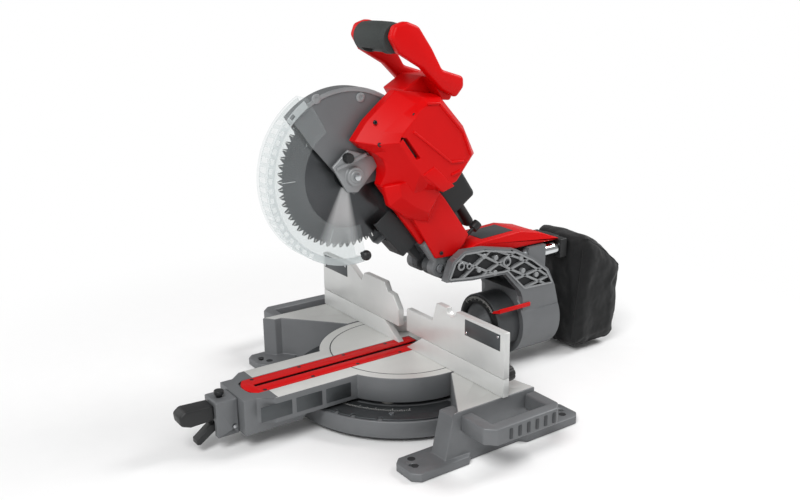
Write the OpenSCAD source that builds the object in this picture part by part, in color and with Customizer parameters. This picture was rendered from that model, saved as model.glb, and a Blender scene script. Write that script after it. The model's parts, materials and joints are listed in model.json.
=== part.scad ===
// Sliding compound miter saw. Frame: +X operator's right, +Y rear, +Z up.
// Origin: table pivot axis on the bench. Rest pose: head raised and drawn forward, square cut.

/* [Base] */
// Height of the table top over the bench
table_h = 90; // [80:1:110]
// Half width of the cast base at its wings
wing_x = 281; // [270:1:300]
// Radius of the round base under the table
base_r = 208; // [200:1:212]
// Height of the round base
base_h = 38; // [32:1:40]
// Thickness of the feet
foot_h = 14; // [10:1:16]
// Bench bolt holes, half spacing across
bolt_x = 258; // [245:1:262]
// Bench bolt holes, half spacing front to rear
bolt_y = 160; // [150:1:164]
// Diameter of the bench bolt holes
bolt_d = 9; // [6:0.5:11]
// Reach of the carry handles past the wings
carry_reach = 72; // [60:1:90]
// Thickness of a carry handle bar
carry_bar = 22; // [16:1:26]

/* [Table] */
// Radius of the turntable top
table_r = 151; // [145:1:155]
// Half width of the table arm
arm_x = 65; // [58:1:66]
// Front end of the table arm
arm_front = 338; // [330:1:345]
// Half width of the kerf plate
kerf_x = 30; // [24:1:34]
// Thickness of the kerf plate
kerf_t = 5; // [3:0.5:6]
// Width of the blade slot at the top
slot_w = 9; // [6:0.5:14]
// Diameter of the table pivot bolt
pivot_d = 20; // [14:1:26]

/* [Fence] */
// Distance of the fence face behind the pivot axis
fence_y = 2.5; // [0:0.5:5]
// Thickness of the fences
fence_t = 12; // [10:1:14]
// Height of the fixed fence
fence_low = 32; // [24:1:36]
// Height of the sliding fences over the table
fence_high = 111; // [100:1:112]
// Half length of the fence
fence_x = 284; // [276:1:290]

/* [Bevel and slide] */
// Radius of the bevel trunnion drum
drum_r = 60; // [52:1:62]
// Front face of the drum
drum_y = 186; // [180:1:190]
// Diameter of the bevel shaft
bevel_d = 24; // [18:1:30]
// Diameter of the slide rails
rail_d = 26; // [22:1:26]
// Half distance between the rails
rail_x = 28; // [28:0.5:29]
// Height of the rail axes
rail_z = 222; // [221:1:224]
// Inside face of the arm cheeks
cheek_in = 46; // [45:0.5:50]
// Thickness of an arm cheek
cheek_t = 16; // [10:1:18]

/* [Head] */
// Blade diameter
blade_d = 254; // [230:1:254]
// Blade plate thickness
blade_t = 2.4; // [1.8:0.1:3]
// Blade teeth
teeth = 60; // [24:1:80]
// Arbor hole diameter
arbor_d = 15.9; // [15.9:0.05:20]
// Chop axis, distance behind the table pivot
chop_y = 58; // [54:1:60]
// Chop axis height
chop_z = 238; // [237:1:242]
// Chop angle from raised to lowered
chop = 55; // [50:1:56]
// Chop pin diameter
pin_d = 16; // [12:1:20]
// Outer radius of the lower guard
guard_r = 155; // [153:1:158]
// Half width of the lower guard
guard_x = 19; // [18.5:0.5:20]
// Radius of the handle grip
grip_r = 21; // [18:1:24]

/* [Hidden] */
$fn = 48;

// Clearance between bodies that move past each other
gap = 0.5;
// Radial clearance of a running shaft
run = 0.05;
// Overcut that makes a cut go clean through
cut = 1;

// Heights worked out from the table
table_under = base_h + 8;
fence_z = table_h + 0.3;
step_z = table_h + fence_low;
fence_top = table_h + fence_high;

// The arbor in the head frame: lowered head, chop axis at the origin
arbor_u = -250;
arbor_w = -30;
blade_r = blade_d / 2;
shell_r = guard_r - 9;
motor_u = arbor_u + 82;
motor_w = arbor_w + 142;
shaft_r = arbor_d / 2 - run;

// Extrudes a profile drawn in (Y, Z) from x0 to x1
module along_x(x0, x1)
    translate([x0, 0, 0]) rotate([90, 0, 90]) linear_extrude(x1 - x0) children();

// Extrudes a profile drawn in (X, Z) from y0 to y1
module along_y(y0, y1)
    translate([0, y1, 0]) rotate([90, 0, 0]) linear_extrude(y1 - y0) children();

// Extrudes a profile drawn in (X, Y) from z0 to z1
module along_z(z0, z1) translate([0, 0, z0]) linear_extrude(z1 - z0) children();

module rod_x(x0, x1, y, z, r) along_x(x0, x1) translate([y, z]) circle(r);
module rod_y(y0, y1, x, z, r) along_y(y0, y1) translate([x, z]) circle(r);
module rod_z(z0, z1, x, y, r) along_z(z0, z1) translate([x, y]) circle(r);
module block(low, high) translate(low) cube(high - low);
module both() { children(); mirror([1, 0, 0]) children(); }

// Places what is drawn in the head frame into the raised rest pose
module in_head() translate([0, chop_y, chop_z]) rotate([-chop, 0, 0]) children();

// Plan outline of the right wing, set back for the table arm's swing
function right_wing() = [[120, 20], [160, -8], [wing_x - 4, -86], [wing_x, -98],
    [wing_x, 74], [160, 52], [120, 52]];
// Plan outline of the left wing, set back for the table arm's swing
function left_wing() = [[-120, 5], [-150, -20], [-188, -51], [-wing_x + 22, -112], [-wing_x + 22, -126],
    [-wing_x, -142], [-wing_x, 60], [-165, 14], [-120, 14]];

// Foot plate with cut corners
foot_cut = 12;
module foot(x, y0, y1) along_z(0, foot_h) polygon([[x - 30, y0 + foot_cut], [x - 30 + foot_cut, y0],
    [x + 34 - foot_cut, y0], [x + 34, y0 + foot_cut], [x + 34, y1 - foot_cut], [x + 34 - foot_cut, y1],
    [x - 30 + foot_cut, y1], [x - 30, y1 - foot_cut]]);

module base_casting() color("dimgray") difference() {
    union() {
        rod_z(8, base_h, 0, 0, base_r);
        along_z(0, table_h) polygon(right_wing());
        along_z(0, table_h) polygon(left_wing());
        foot(bolt_x, -177, -60);
        foot(bolt_x, 40, 176);
        mirror([1, 0, 0]) foot(bolt_x, -177, -90);
        mirror([1, 0, 0]) foot(bolt_x, 20, 176);
        // Web that runs from the right wing down to its front foot
        along_x(wing_x - 37, wing_x)
            polygon([[-70, 0], [-70, table_h - 6], [-96, table_h - 6], [-112, foot_h], [-112, 0]]);
    }
    // Room for the table and its neck to turn
    rod_z(base_h, table_h + cut, 0, 0, table_r + 2.5);
    // Hollow underside, with a hub left at the pivot
    difference() {
        rod_z(-cut, base_h - 10, 0, 0, base_r - 12);
        rod_z(-cut, base_h, 0, 0, pivot_d / 2 + 14);
        for (a = [0 : 60 : 179]) rotate([0, 0, a]) block([-base_r, -4, 0], [base_r, 4, base_h]);
    }
    along_z(-cut, table_h - 9) polygon([[212, 0], [wing_x - 9, -54], [wing_x - 9, 62], [212, 50]]);
    along_z(-cut, table_h - 9) polygon([[-212, -48], [-wing_x + 32, -80], [-wing_x + 32, 22], [-212, 20]]);
    rod_z(-cut, base_h + cut, 0, 0, pivot_d / 2 + run);
    for (x = [-bolt_x, bolt_x], y = [-bolt_y, bolt_y]) rod_z(-cut, foot_h + cut, x, y, bolt_d / 2);
    for (x = fence_bolt_x) rod_z(table_h - fence_bolt_deep, table_h + cut, x, fence_bolt_y, fence_bolt_r);
}

// A U-shaped bar bolted to the wing's end face, with its outer corners cut
bar_cut = 16;
module carry_bar_right(y0, y1) difference() {
    along_z(56, 84) polygon([[wing_x, y0], [wing_x + carry_reach - bar_cut, y0],
        [wing_x + carry_reach, y0 + bar_cut], [wing_x + carry_reach, y1 - bar_cut],
        [wing_x + carry_reach - bar_cut, y1], [wing_x, y1]]);
    block([wing_x - cut, y0 + carry_bar, 50], [wing_x + carry_reach - carry_bar, y1 - carry_bar, 90]);
}

module carry_handles() color("dimgray") {
    carry_bar_right(-82, 74);
    mirror([1, 0, 0]) carry_bar_right(-112, 56);
}

// Index plate with a notch at each common angle
notch_angles = [-45, -31.6, -22.5, -15, 0, 15, 22.5, 31.6, 45];
scale_r = base_r - 4;
scale_t = 3;
scale_screw_angles = [-50, 7.5, 50];
module miter_scale() color("darkgray") difference() {
    rod_z(base_h, base_h + scale_t, 0, 0, scale_r);
    rod_z(base_h - cut, base_h + scale_t + cut, 0, 0, table_r + 2.5);
    along_z(base_h - cut, base_h + scale_t + cut) {
        polygon([[-300, 300], [-300, 30], [-150, -30], [150, -10], [300, 0], [300, 300]]);
        offset(delta = gap) polygon(right_wing());
        offset(delta = gap) polygon(left_wing());
    }
    for (a = notch_angles) rotate([0, 0, a])
        block([-4, -scale_r - cut, base_h - cut], [4, -scale_r + 8, base_h + scale_t + cut]);
    for (a = scale_screw_angles) rotate([0, 0, a])
        rod_z(base_h - cut, base_h + scale_t + cut, 0, -scale_r + 20, 2.6);
}

module scale_screws() color("silver")
    for (a = scale_screw_angles) rotate([0, 0, a]) {
        rod_z(base_h + scale_t, base_h + scale_t + 2, 0, -scale_r + 20, 4.5);
        rod_z(base_h, base_h + scale_t, 0, -scale_r + 20, 2.5);
    }

module table_pivot_bolt() color("silver") {
    rod_z(base_h - 30, table_h - 38, 0, 0, pivot_d / 2);
    rod_z(base_h - 34, base_h - 30, 0, 0, pivot_d / 2 + 8);
}

// Half of the fixed fence, cut back for a tilted blade
module fence_half(inner) along_y(fence_y, fence_y + fence_t)
    polygon([[inner, fence_z], [fence_x, fence_z], [fence_x, step_z], [inner + 46, step_z]]);

// Screws that hold the fixed fence down
fence_bolt_x = [-250, -200, 200, 250];
fence_bolt_y = fence_y + fence_t + 3;
fence_bolt_r = 2.2;
fence_bolt_deep = 8;
flange_h = 8;
module fixed_fence() color("lightgray") difference() {
    union() {
        fence_half(14);
        mirror([1, 0, 0]) fence_half(12);
        // Bridge that passes behind the blade
        difference() {
            along_z(fence_z, fence_z + 22)
                polygon([[-110, 14], [-70, 14], [-44, 56], [44, 56],
                    [70, 14], [110, 14], [62, 74], [-62, 74]]);
            block([-120, 0, 0], [120, fence_y + fence_t - 0.1, 200]);
        }
        both() block([176, fence_y + fence_t - cut, fence_z],
            [fence_x - 8, fence_y + fence_t + 6, fence_z + flange_h]);
    }
    for (x = fence_bolt_x) rod_z(table_h - cut, fence_z + flange_h + cut, x, fence_bolt_y, fence_bolt_r);
}

module fence_bolts() color("silver") for (x = fence_bolt_x) {
    rod_z(table_h - fence_bolt_deep, fence_z + flange_h, x, fence_bolt_y, fence_bolt_r);
    rod_z(fence_z + flange_h, fence_z + flange_h + 3, x, fence_bolt_y, fence_bolt_r + 0.7);
}

fence_seat = step_z + gap;
fence_back = fence_y + fence_t + gap;
leg_z = fence_z + 13;
leg_t = 7;
knob_x = 256;
knob_z = leg_z + 12;
// Guide leg behind the fixed fence, drilled for the clamp knob
module fence_leg() difference() {
    union() {
        block([124, fence_back, leg_z], [knob_x + 14, fence_back + leg_t, fence_seat + 20]);
        block([124, fence_y + fence_t - cut, fence_seat], [knob_x + 14, fence_back + leg_t, fence_seat + 20]);
    }
    rod_y(fence_back - cut, fence_back + leg_t + cut, knob_x, knob_z, 4 + run);
}
// Sliding fence: face plate over the fixed fence and a guide leg behind it
module left_fence() color("lightgray") {
    along_y(fence_y, fence_y + fence_t) polygon([[-fence_x, fence_seat], [-fence_x, fence_top],
        [-176, fence_top], [-138, fence_top - 22], [-128, fence_top - 4], [-58, fence_top - 4],
        [-48, fence_top - 20], [-30, fence_top - 22], [-12, fence_top - 46], [-12, fence_seat]]);
    mirror([1, 0, 0]) fence_leg();
}

module right_fence() color("lightgray") {
    along_y(fence_y, fence_y + fence_t) difference() {
        polygon([[14, fence_seat], [14, fence_top - 36], [92, fence_top - 36], [104, fence_top],
            [fence_x, fence_top], [fence_x, fence_seat]]);
        translate([146, fence_top]) circle(13);
    }
    fence_leg();
}

knob_y = fence_back + leg_t + gap;
// Clamp screw, turned back off the fixed fence
screw_back = 3.2;
// Ribbed clamp knob behind a fence, with its screw
module fence_knob() {
    difference() {
        rod_y(knob_y, knob_y + 20, knob_x, knob_z, 13);
        for (a = [0 : 45 : 359]) translate([knob_x, 0, knob_z]) rotate([0, a, 0])
            rod_y(knob_y + 4, knob_y + 20 + cut, 15, 0, 3);
    }
    rod_y(fence_back + screw_back, knob_y, knob_x, knob_z, 4);
}
module left_fence_knob() color("black") mirror([1, 0, 0]) fence_knob();
module right_fence_knob() color("black") fence_knob();

// Table disc, arm and rear neck under the trunnion
neck_x = 52;
nose_x = 46;
neck_y = drum_y + 30;
module turntable() color("lightgray") difference() {
    union() {
        rod_z(table_under, table_h, 0, 0, table_r);
        along_z(table_under, table_h) polygon([[-nose_x, -arm_front], [nose_x, -arm_front],
            [nose_x, -arm_front + 22], [arm_x, -arm_front + 48], [arm_x, 0], [-arm_x, 0],
            [-arm_x, -arm_front + 48], [-nose_x, -arm_front + 22]]);
        along_x(-nose_x, nose_x) polygon([[-arm_front, 28], [-base_r - 26, 28], [-base_r - 8, table_under],
            [-arm_front, table_under]]);
        block([-neck_x, 100, table_under], [neck_x, neck_y, table_h - 30]);
    }
    // Seat of the kerf plate and trough under it
    block([-kerf_x, -318, table_h - kerf_t], [kerf_x, 37, table_h + cut]);
    block([-24, -306, 60], [24, 30, table_h]);
    // Hollow underside of the arm
    difference() {
        block([-40, -arm_front + 14, -cut], [40, -base_r - 14, 54]);
        block([-9, -base_r - 26, guide_z - 7], [9, -base_r, 60]);
    }
    rod_y(-arm_front - cut, -base_r, 0, guide_z, guide_r + run);
    // Hollow underside of the disc, with a hub and the walls of the trough left
    difference() {
        rod_z(table_under - cut, table_h - 12, 0, 0, table_r - 40);
        rod_z(0, table_h, 0, 0, pivot_d / 2 + 14);
        block([-34, -table_r, 0], [34, table_r, table_h]);
    }
    rod_z(table_under - cut, table_h - 38 + cut, 0, 0, pivot_d / 2 + run);
    for (x = [-24.5, 24.5], y = kerf_screw_y) rod_z(table_h - kerf_t - 9, table_h, x, y, 1.9);
}

// Low friction pads that carry the table on the base
module wear_pads() color("white") for (a = [45 : 90 : 359]) rotate([0, 0, a])
    rod_z(base_h, table_under, 0, 128, 12);

kerf_screw_y = [-290, -200, -110, -20];
module kerf_plate() color("red") difference() {
    union() {
        block([-kerf_x + 0.4, -318 + kerf_x, table_h - kerf_t], [kerf_x - 0.4, 36.6, table_h]);
        intersection() {
            rod_z(table_h - kerf_t, table_h, 0, -317.6 + kerf_x + 12, kerf_x + 12);
            block([-kerf_x + 0.4, -320, 0], [kerf_x - 0.4, -318 + kerf_x, 200]);
        }
    }
    // Slot that widens downwards for a tilted blade
    along_y(-297, 40) polygon([[-slot_w / 2, table_h + cut], [slot_w / 2, table_h + cut],
        [slot_w / 2, table_h - 1.5], [12, table_h - kerf_t - cut], [-12, table_h - kerf_t - cut],
        [-slot_w / 2, table_h - 1.5]]);
    for (x = [-24.5, 24.5], y = kerf_screw_y) rod_z(table_h - kerf_t - cut, table_h + cut, x, y, 1.9);
    for (x = [-24.5, 24.5], y = kerf_screw_y) rod_z(table_h - 1.6, table_h + cut, x, y, 3.6);
}

module kerf_screws() color("silver") for (x = [-24.5, 24.5], y = kerf_screw_y) {
    rod_z(table_h - 1.6, table_h - 0.2, x, y, 3.5);
    rod_z(table_h - kerf_t - 8, table_h - 1.6, x, y, 1.8);
}

block_front = arm_front + 38;
lever_y = -arm_front - 8;
lever_z = 40;
// Cast block at the arm's front that carries the handle and the lever
module front_block() color("gray") difference() {
    block([-23, -block_front, 26], [23, -arm_front, table_h - 2]);
    // Slot for the lever
    block([-11, -block_front - cut, 20], [11, -arm_front + cut, 52]);
    rod_x(-24, 24, lever_y, lever_z, 3 + run);
    rod_y(-block_front - cut, -block_front + 10, 0, 64, 5);
    rod_z(table_h - 14, table_h, 0, button_y, 4.5 + run);
}

module front_handle() color("darkslategray") {
    along_x(-16, 16) polygon([[-block_front, 56], [-block_front, 82], [-block_front - 48, 84],
        [-block_front - 58, 76], [-block_front - 56, 60], [-block_front - 40, 54]]);
    rod_y(-block_front, -block_front + 10, 0, 64, 5);
}

// Trigger lever under the handle
module detent_lever() color("black") difference() {
    union() {
        along_x(-9, 9) polygon([[lever_y, 34], [lever_y, 46], [-block_front - 4, 46], [-block_front - 30, 26],
            [-block_front - 30, 18], [-block_front - 24, 16], [-block_front + 2, 34]]);
        rod_x(-9, 9, lever_y, lever_z, 7);
    }
    rod_x(-10, 10, lever_y, lever_z, 3 + run);
}
module lever_pin() color("silver") rod_x(-25, 25, lever_y, lever_z, 3);

// Plunger that stands just outside the index plate, drawn out by the lever
guide_r = 3;
guide_z = base_h + guide_r + 0.6;
module detent_pin() color("silver") rod_y(-arm_front + 8, -scale_r - 0.6, 0, guide_z, guide_r);
button_y = -block_front + 16;
module detent_button() color("black") {
    rod_z(table_h + 2, table_h + 9, 0, button_y, 8);
    rod_z(table_h - 8, table_h + 2, 0, button_y, 4.5);
}

// Fixed half of the bevel joint
module bevel_trunnion() color("gray") difference() {
    union() {
        rod_y(drum_y, drum_y + 52, 0, table_h, drum_r);
        translate([0, drum_y, table_h]) rotate([90, 0, 0]) cylinder(h = 20, r1 = 38, r2 = 22);
        block([-neck_x, drum_y - 8, table_h - 30], [neck_x, drum_y + 40, table_h - 4]);
    }
    rod_y(drum_y - 30, drum_y + 60, 0, table_h, bevel_d / 2 + run);
    // The neck passes under the drum
    block([-80, drum_y - 40, -10], [80, drum_y + 80, table_h - 30]);
}

module bevel_scale() color("black") difference() {
    rod_y(drum_y - 1.5, drum_y, 0, table_h, drum_r - 2);
    rod_y(drum_y - 3, drum_y + cut, 0, table_h, 41);
    block([-80, drum_y - 3, 0], [80, drum_y + cut, table_h + 6]);
}

arm_y0 = drum_y + 52 + gap;
cheek_out = cheek_in + cheek_t;
block_y0 = 268;
block_y1 = 312;
hub_r = 70;
// One ribbed cheek: profile in (Y, Z), drawn once for each side
module cheek(front) difference() {
    along_x(cheek_in, cheek_out) polygon([[front, 216], [front + 14, 252], [front + 40, 268],
        [front + 90, 266], [223, 250], [268, 226], [308, 196], [326, 160], [336, 124], [318, 100],
        [244, 100], [242, 150], [236, 164], [197, 206], [front + 60, 209]]);
    // Lattice pockets cut from outside
    for (y = [front + 34, front + 74, front + 114, front + 154])
        along_x(cheek_out - 9, cheek_out + cut) polygon([[y - 16, 236], [y, 218], [y + 16, 236], [y, 252]]);
}

module arm_casting() color("silver") difference() {
    union() {
        cheek(57);
        mirror([1, 0, 0]) cheek(96);
        along_x(-cheek_out, cheek_out) polygon([[block_y0, 120], [block_y1, 120], [block_y1, 190],
            [block_y0, 224]]);
        block([-block_x, block_y0, 160], [block_x, block_y1, rail_z + 20]);
        rod_y(arm_y0, 336, 0, table_h, hub_r);
        block([-cheek_in - 2, arm_y0, 100], [cheek_in + 2, 326, 160]);
    }
    for (x = [-rail_x, rail_x]) rod_y(block_y0 - 60, block_y1 + 60, x, rail_z, rail_d / 2 + bush_wall);
    rod_y(block_y0 - 60, block_y1 + 60, 0, rail_z, tube_r + gap);
    rod_y(arm_y0 - cut, 340, 0, table_h, bevel_d / 2 + run);
    // Feet swing under the hub
    block([-100, 0, 0], [100, 400, foot_h + 7]);
    // Pocket for the lock knob's seat
    rod_x(-cheek_out - 10, -cheek_out + 8, block_y0 + 20, 170, 5);
}

// Through shaft of the bevel joint with a nut at each end
module bevel_shaft() color("silver") {
    rod_y(drum_y - 22, 338, 0, table_h, bevel_d / 2);
    rod_y(338, 350, 0, table_h, bevel_d / 2 + 8);
}

bush_l = 18;
bush_wall = 4;
block_x = rail_x + rail_d / 2 + bush_wall + 3;
module linear_bushings() color("silver")
    for (x = [-rail_x, rail_x], y = [block_y0, block_y1 - bush_l]) difference() {
        rod_y(y, y + bush_l, x, rail_z, rail_d / 2 + bush_wall);
        rod_y(y - cut, y + bush_l + cut, x, rail_z, rail_d / 2 + run);
    }

module bevel_pointer() color("red") {
    block([cheek_out, drum_y - 4, table_h + 40], [cheek_out + 3, block_y0 - 8, table_h + 48]);
    along_y(drum_y - 4, drum_y - 2) polygon([[drum_r - 18, table_h + 34], [cheek_out + 3, table_h + 40],
        [cheek_out + 3, table_h + 48], [drum_r - 14, table_h + 40]]);
}

module bevel_lock_knob() color("black") {
    rod_x(-cheek_out - 30, -cheek_out - 0.5, block_y0 + 20, 170, 13);
    rod_x(-cheek_out - 0.5, -cheek_out + 7, block_y0 + 20, 170, 4.6);
}

tube_r = 9;
cover_z = rail_z + 22.5;
rail_y0 = 82;
rail_y1 = 368;
module slide_rails() color("silver") for (x = [-rail_x, rail_x]) difference() {
    rod_y(rail_y0, rail_y1, x, rail_z, rail_d / 2);
    rod_y(rail_y0 - cut, rail_y1 + cut, x, rail_z, rail_d / 2 - 3);
}

// Carries the chop pin on the front of the rails
lug_x = 22;
module hinge_bracket() color("dimgray") difference() {
    union() {
        rod_x(-lug_x, lug_x, chop_y, chop_z, 17);
        along_x(-lug_x, lug_x) polygon([[chop_y, chop_z - 16], [rail_y0, rail_z - 16],
            [rail_y0, rail_z + 30], [chop_y, chop_z + 16]]);
        block([-cheek_in + 3, rail_y0, rail_z - 16], [cheek_in - 3, rail_y0 + 38, cover_z]);
        along_x(12, 28) polygon([[rail_y0, cover_z], [rail_y0 + 27.75, cover_z],
            [rail_y0 + 27.75, cover_z + 14], [rail_y0 + 23.2, cover_z + 20]]);
    }
    for (x = [-rail_x, rail_x]) rod_y(rail_y0, rail_y0 + 60, x, rail_z, rail_d / 2);
    rod_x(-lug_x - cut, lug_x + cut, chop_y, chop_z, pin_d / 2 + run);
    // Gap for the return spring
    rod_x(-7.5, 7.5, chop_y, chop_z, 18);
    rod_y(rail_y0 - 60, rail_y0 + 60, 0, rail_z, tube_r);
}

module rail_cover() color("red") along_x(-cheek_in + 4, cheek_in - 4)
    polygon([[rail_y0 + 31, cover_z], [rail_y0 + 31, cover_z + 14], [rail_y0 + 60, cover_z + 26],
        [252, cover_z + 32], [300, cover_z + 22], [352, cover_z + 2], [352, cover_z]]);

outlet_r = 19;
module end_plate() color("black") difference() {
    union() {
        block([-cheek_in + 2, rail_y1 - 12, rail_z - 17], [cheek_in - 2, rail_y1 + 6, rail_z + 21]);
        block([-20, 346, cover_z - 2], [20, rail_y1 + 6, cover_z]);
        rod_y(rail_y1 + 6, rail_y1 + 22, 0, rail_z, outlet_r);
    }
    for (x = [-rail_x, rail_x]) rod_y(rail_y1 - 20, rail_y1, x, rail_z, rail_d / 2);
    rod_y(rail_y1 - 20, rail_y1 + 40, 0, rail_z, tube_r);
}

module dust_tube() color("black") difference() {
    rod_y(rail_y0 + 4, rail_y1, 0, rail_z, tube_r);
    rod_y(rail_y0, rail_y1 + cut, 0, rail_z, tube_r - 1.5);
}

// Filter bag hung from the outlet collar
bag_y0 = rail_y1 + 8;
module dust_bag() color("black") difference() {
    along_x(-70, 70) polygon([[bag_y0, rail_z - 40], [bag_y0, rail_z + 24], [bag_y0 + 40, rail_z + 22],
        [bag_y0 + 150, 172], [bag_y0 + 154, 30], [bag_y0 + 120, 20], [bag_y0 + 30, 32]]);
    rod_y(bag_y0 - cut, rail_y1 + 22, 0, rail_z, outlet_r);
}

stop_y = rail_y0 + 26;
stop_z = cover_z + 17;
stop_lean = 53;
stop_l = 52;
// Screw that limits the cut depth, with a ribbed head
module depth_stop() color("black") translate([20, stop_y, stop_z]) rotate([-stop_lean, 0, 0]) {
    rod_z(0, stop_l, 0, 0, 3.5);
    rod_z(stop_l, stop_l + 16, 0, 0, 9);
}

ear_x = 40;
module pivot_pin() color("silver") rod_x(-ear_x - 2, ear_x + 2, chop_y, chop_z, pin_d / 2);

// Helix about X for the torsion spring
function helix(turns, r, x0, x1, n) = [for (i = [0 : n]) let (a = 360 * turns * i / n)
    [x0 + (x1 - x0) * i / n, r * cos(a), r * sin(a)]];
spring_wire = 1.6;
spring_r = pin_d / 2 + spring_wire + 0.3;
module return_spring() color("silver") {
    spring_turns = 3;
    rings = spring_turns * 12;
    path = helix(spring_turns, spring_r, -4, 4, rings);
    sides = 6;
    points = [for (p = path, k = [0 : sides - 1]) let (a = atan2(p[2], p[1]), b = 360 * k / sides)
        [p[0] + spring_wire * sin(b), p[1] + spring_wire * cos(b) * cos(a),
            p[2] + spring_wire * cos(b) * sin(a)]];
    n = len(path);
    walls = [for (i = [0 : n - 2], k = [0 : sides - 1]) let (j = (k + 1) % sides)
        each [[i * sides + k, i * sides + j, (i + 1) * sides + j],
            [i * sides + k, (i + 1) * sides + j, (i + 1) * sides + k]]];
    last = (n - 1) * sides;
    ends = [for (k = [1 : sides - 2]) each [[0, k + 1, k], [last, last + k, last + k + 1]]];
    translate([0, chop_y, chop_z]) polyhedron(points, concat(walls, ends));
}

// Structural arm of the head with its clevis, in the head frame
module head_casting() color("gray") in_head() difference() {
    union() {
        block([-lug_x + 0.5, -100, 2], [lug_x - 0.5, -44, 74]);
        block([-ear_x, -60, 6], [ear_x, -36, 74]);
        block([-20, -98, 74], [8, -60, 92]);
        both() block([lug_x + gap, -60, -2], [ear_x, 0, 30]);
        both() rod_x(lug_x + gap, ear_x, 0, 0, 17);
    }
    rod_x(-60, 60, 0, 0, pin_d / 2);
}

// D-shaped shell over the blade, open below
module upper_guard() color("gray") in_head() difference() {
    union() {
        intersection() {
            rod_x(-14, 14, arbor_u, arbor_w, shell_r);
            block([-20, arbor_u - 200, arbor_w - 27], [20, arbor_u + 200, arbor_w + 200]);
        }
        block([-14, arbor_u + 120, 4], [14, -100, 72]);
    }
    rod_x(-11, 11, arbor_u, arbor_w, shell_r - 3);
    rod_x(-15, 0, arbor_u, arbor_w, 30);
    rod_x(0, 15, arbor_u, arbor_w, 20);
}

// Side covers of the arm, one each side, out to the clevis
cover_end = [[-24, 2], [3, 37], [0, 65], [-7, 83], [-98, 81]];
// The outer part of each cover stands higher, to pass over the fences when the head is tilted
cover_step = 33;
cover_low = 10;
module arm_covers() color("red") in_head() {
    along_x(lug_x, cover_step) polygon([[-152, -6], [-60, -2], [-60, 80], [-128, 78], [-152, 40]]);
    along_x(-cover_step, -lug_x) polygon([[-100, -6], [-60, -2], [-60, 80], [-100, 76]]);
    along_x(cover_step, ear_x)
        polygon([[-152, cover_low], [-60, cover_low], [-60, 80], [-128, 78], [-152, 40]]);
    along_x(-ear_x, -cover_step) polygon([[-100, cover_low], [-60, cover_low], [-60, 80], [-100, 76]]);
    along_x(ear_x, cheek_in - 2) polygon(concat([[-152, 40], [-152, cover_low]], cover_end, [[-128, 78]]));
    along_x(-cheek_in + 2, -ear_x) polygon(concat([[-100, cover_low]], cover_end, [[-100, 80]]));
}

housing_x = 82;
housing_in = guard_x + 1.5;
// Outline of the motor housing in the head frame
housing_shape = [[-302, 0], [-320, 62], [-312, 104], [-258, 172], [-190, 182], [-119, 172],
    [-110, 112], [-128, 78], [-152, 40], [-152, -8], [-222, -2], [-262, 18]];
module motor_housing() color("red") in_head() difference() {
    union() {
        along_x(housing_in, housing_x - 22) polygon(housing_shape);
        along_x(housing_x - 22, housing_x) polygon([[-290, 70], [-250, 150], [-190, 172], [-124, 162],
            [-118, 112], [-140, 66], [-200, 40], [-260, 50]]);
    }
    rod_x(housing_in + 4, housing_x - 5, motor_u, motor_w, 42);
    rod_x(0, housing_in + 10, motor_u, motor_w, 11);
    // Room round the arbor's bracket
    rod_x(0, housing_x, arbor_u, arbor_w, 50);
}

// Belt case on the left of the blade
case_r = 32;
module pulley_line(x0, x1, r0, r1) hull() {
    rod_x(x0, x1, arbor_u, arbor_w, r0);
    rod_x(x0, x1, motor_u, motor_w, r1);
}
case_x = -52;
module belt_case() color("gray") in_head() difference() {
    union() {
        pulley_line(case_x, -guard_x - 1, case_r, 30);
        rod_x(-guard_x - 1, -12, arbor_u, arbor_w, 27);
        block([-40, -150, 20], [-guard_x - 1, -100, 90]);
    }
    pulley_line(case_x - cut, -33, case_r - 3, 27);
    rod_x(-33 - cut, -10, arbor_u, arbor_w, 17);
    rod_x(-33 - cut, 0, motor_u, motor_w, 11);
}

module belt_cover() color("red") in_head() pulley_line(case_x - 8, case_x, case_r + 3, 33);

pulley_x = -49;
pulley_w = 13;
big_r = 25;
small_r = 12;
module drive_belt() color("black") in_head() difference() {
    pulley_line(pulley_x + 1, pulley_x + pulley_w - 1, big_r + 3, small_r + 3);
    pulley_line(pulley_x, pulley_x + pulley_w, big_r + 0.3, small_r + 0.3);
}

module motor_stator() color("peru") in_head() difference() {
    rod_x(30, 66, motor_u, motor_w, 42);
    rod_x(29, 67, motor_u, motor_w, 25);
}

module motor_rotor() color("silver") in_head() {
    rod_x(-50, 76, motor_u, motor_w, 5);
    rod_x(31, 65, motor_u, motor_w, 24);
    rod_x(pulley_x, pulley_x + pulley_w, motor_u, motor_w, small_r);
}

// Ball bearings of the arbor and the motor shaft
module ring_x(x0, x1, u, w, r_in, r_out) difference() {
    rod_x(x0, x1, u, w, r_out);
    rod_x(x0 - cut, x1 + cut, u, w, r_in);
}
module shaft_bearings() color("silver") in_head() {
    ring_x(-32, -18, arbor_u, arbor_w, arbor_d / 2, 17);
    ring_x(-32, -24, motor_u, motor_w, 5 + run, 11);
    ring_x(housing_in, housing_in + 9, motor_u, motor_w, 5 + run, 11);
}

module arbor_shaft() color("silver") in_head() {
    rod_x(-51, 8, arbor_u, arbor_w, shaft_r);
    rod_x(pulley_x, pulley_x + pulley_w, arbor_u, arbor_w, big_r);
}

module blade_flanges() color("silver") in_head() {
    ring_x(-9, -blade_t / 2, arbor_u, arbor_w, arbor_d / 2, 24);
    ring_x(blade_t / 2, 8, arbor_u, arbor_w, arbor_d / 2, 24);
}

module arbor_bolt() color("silver") in_head() {
    rod_x(8, 10, arbor_u, arbor_w, 14);
    along_x(10, 17) translate([arbor_u, arbor_w]) circle(9, $fn = 6);
}

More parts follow.
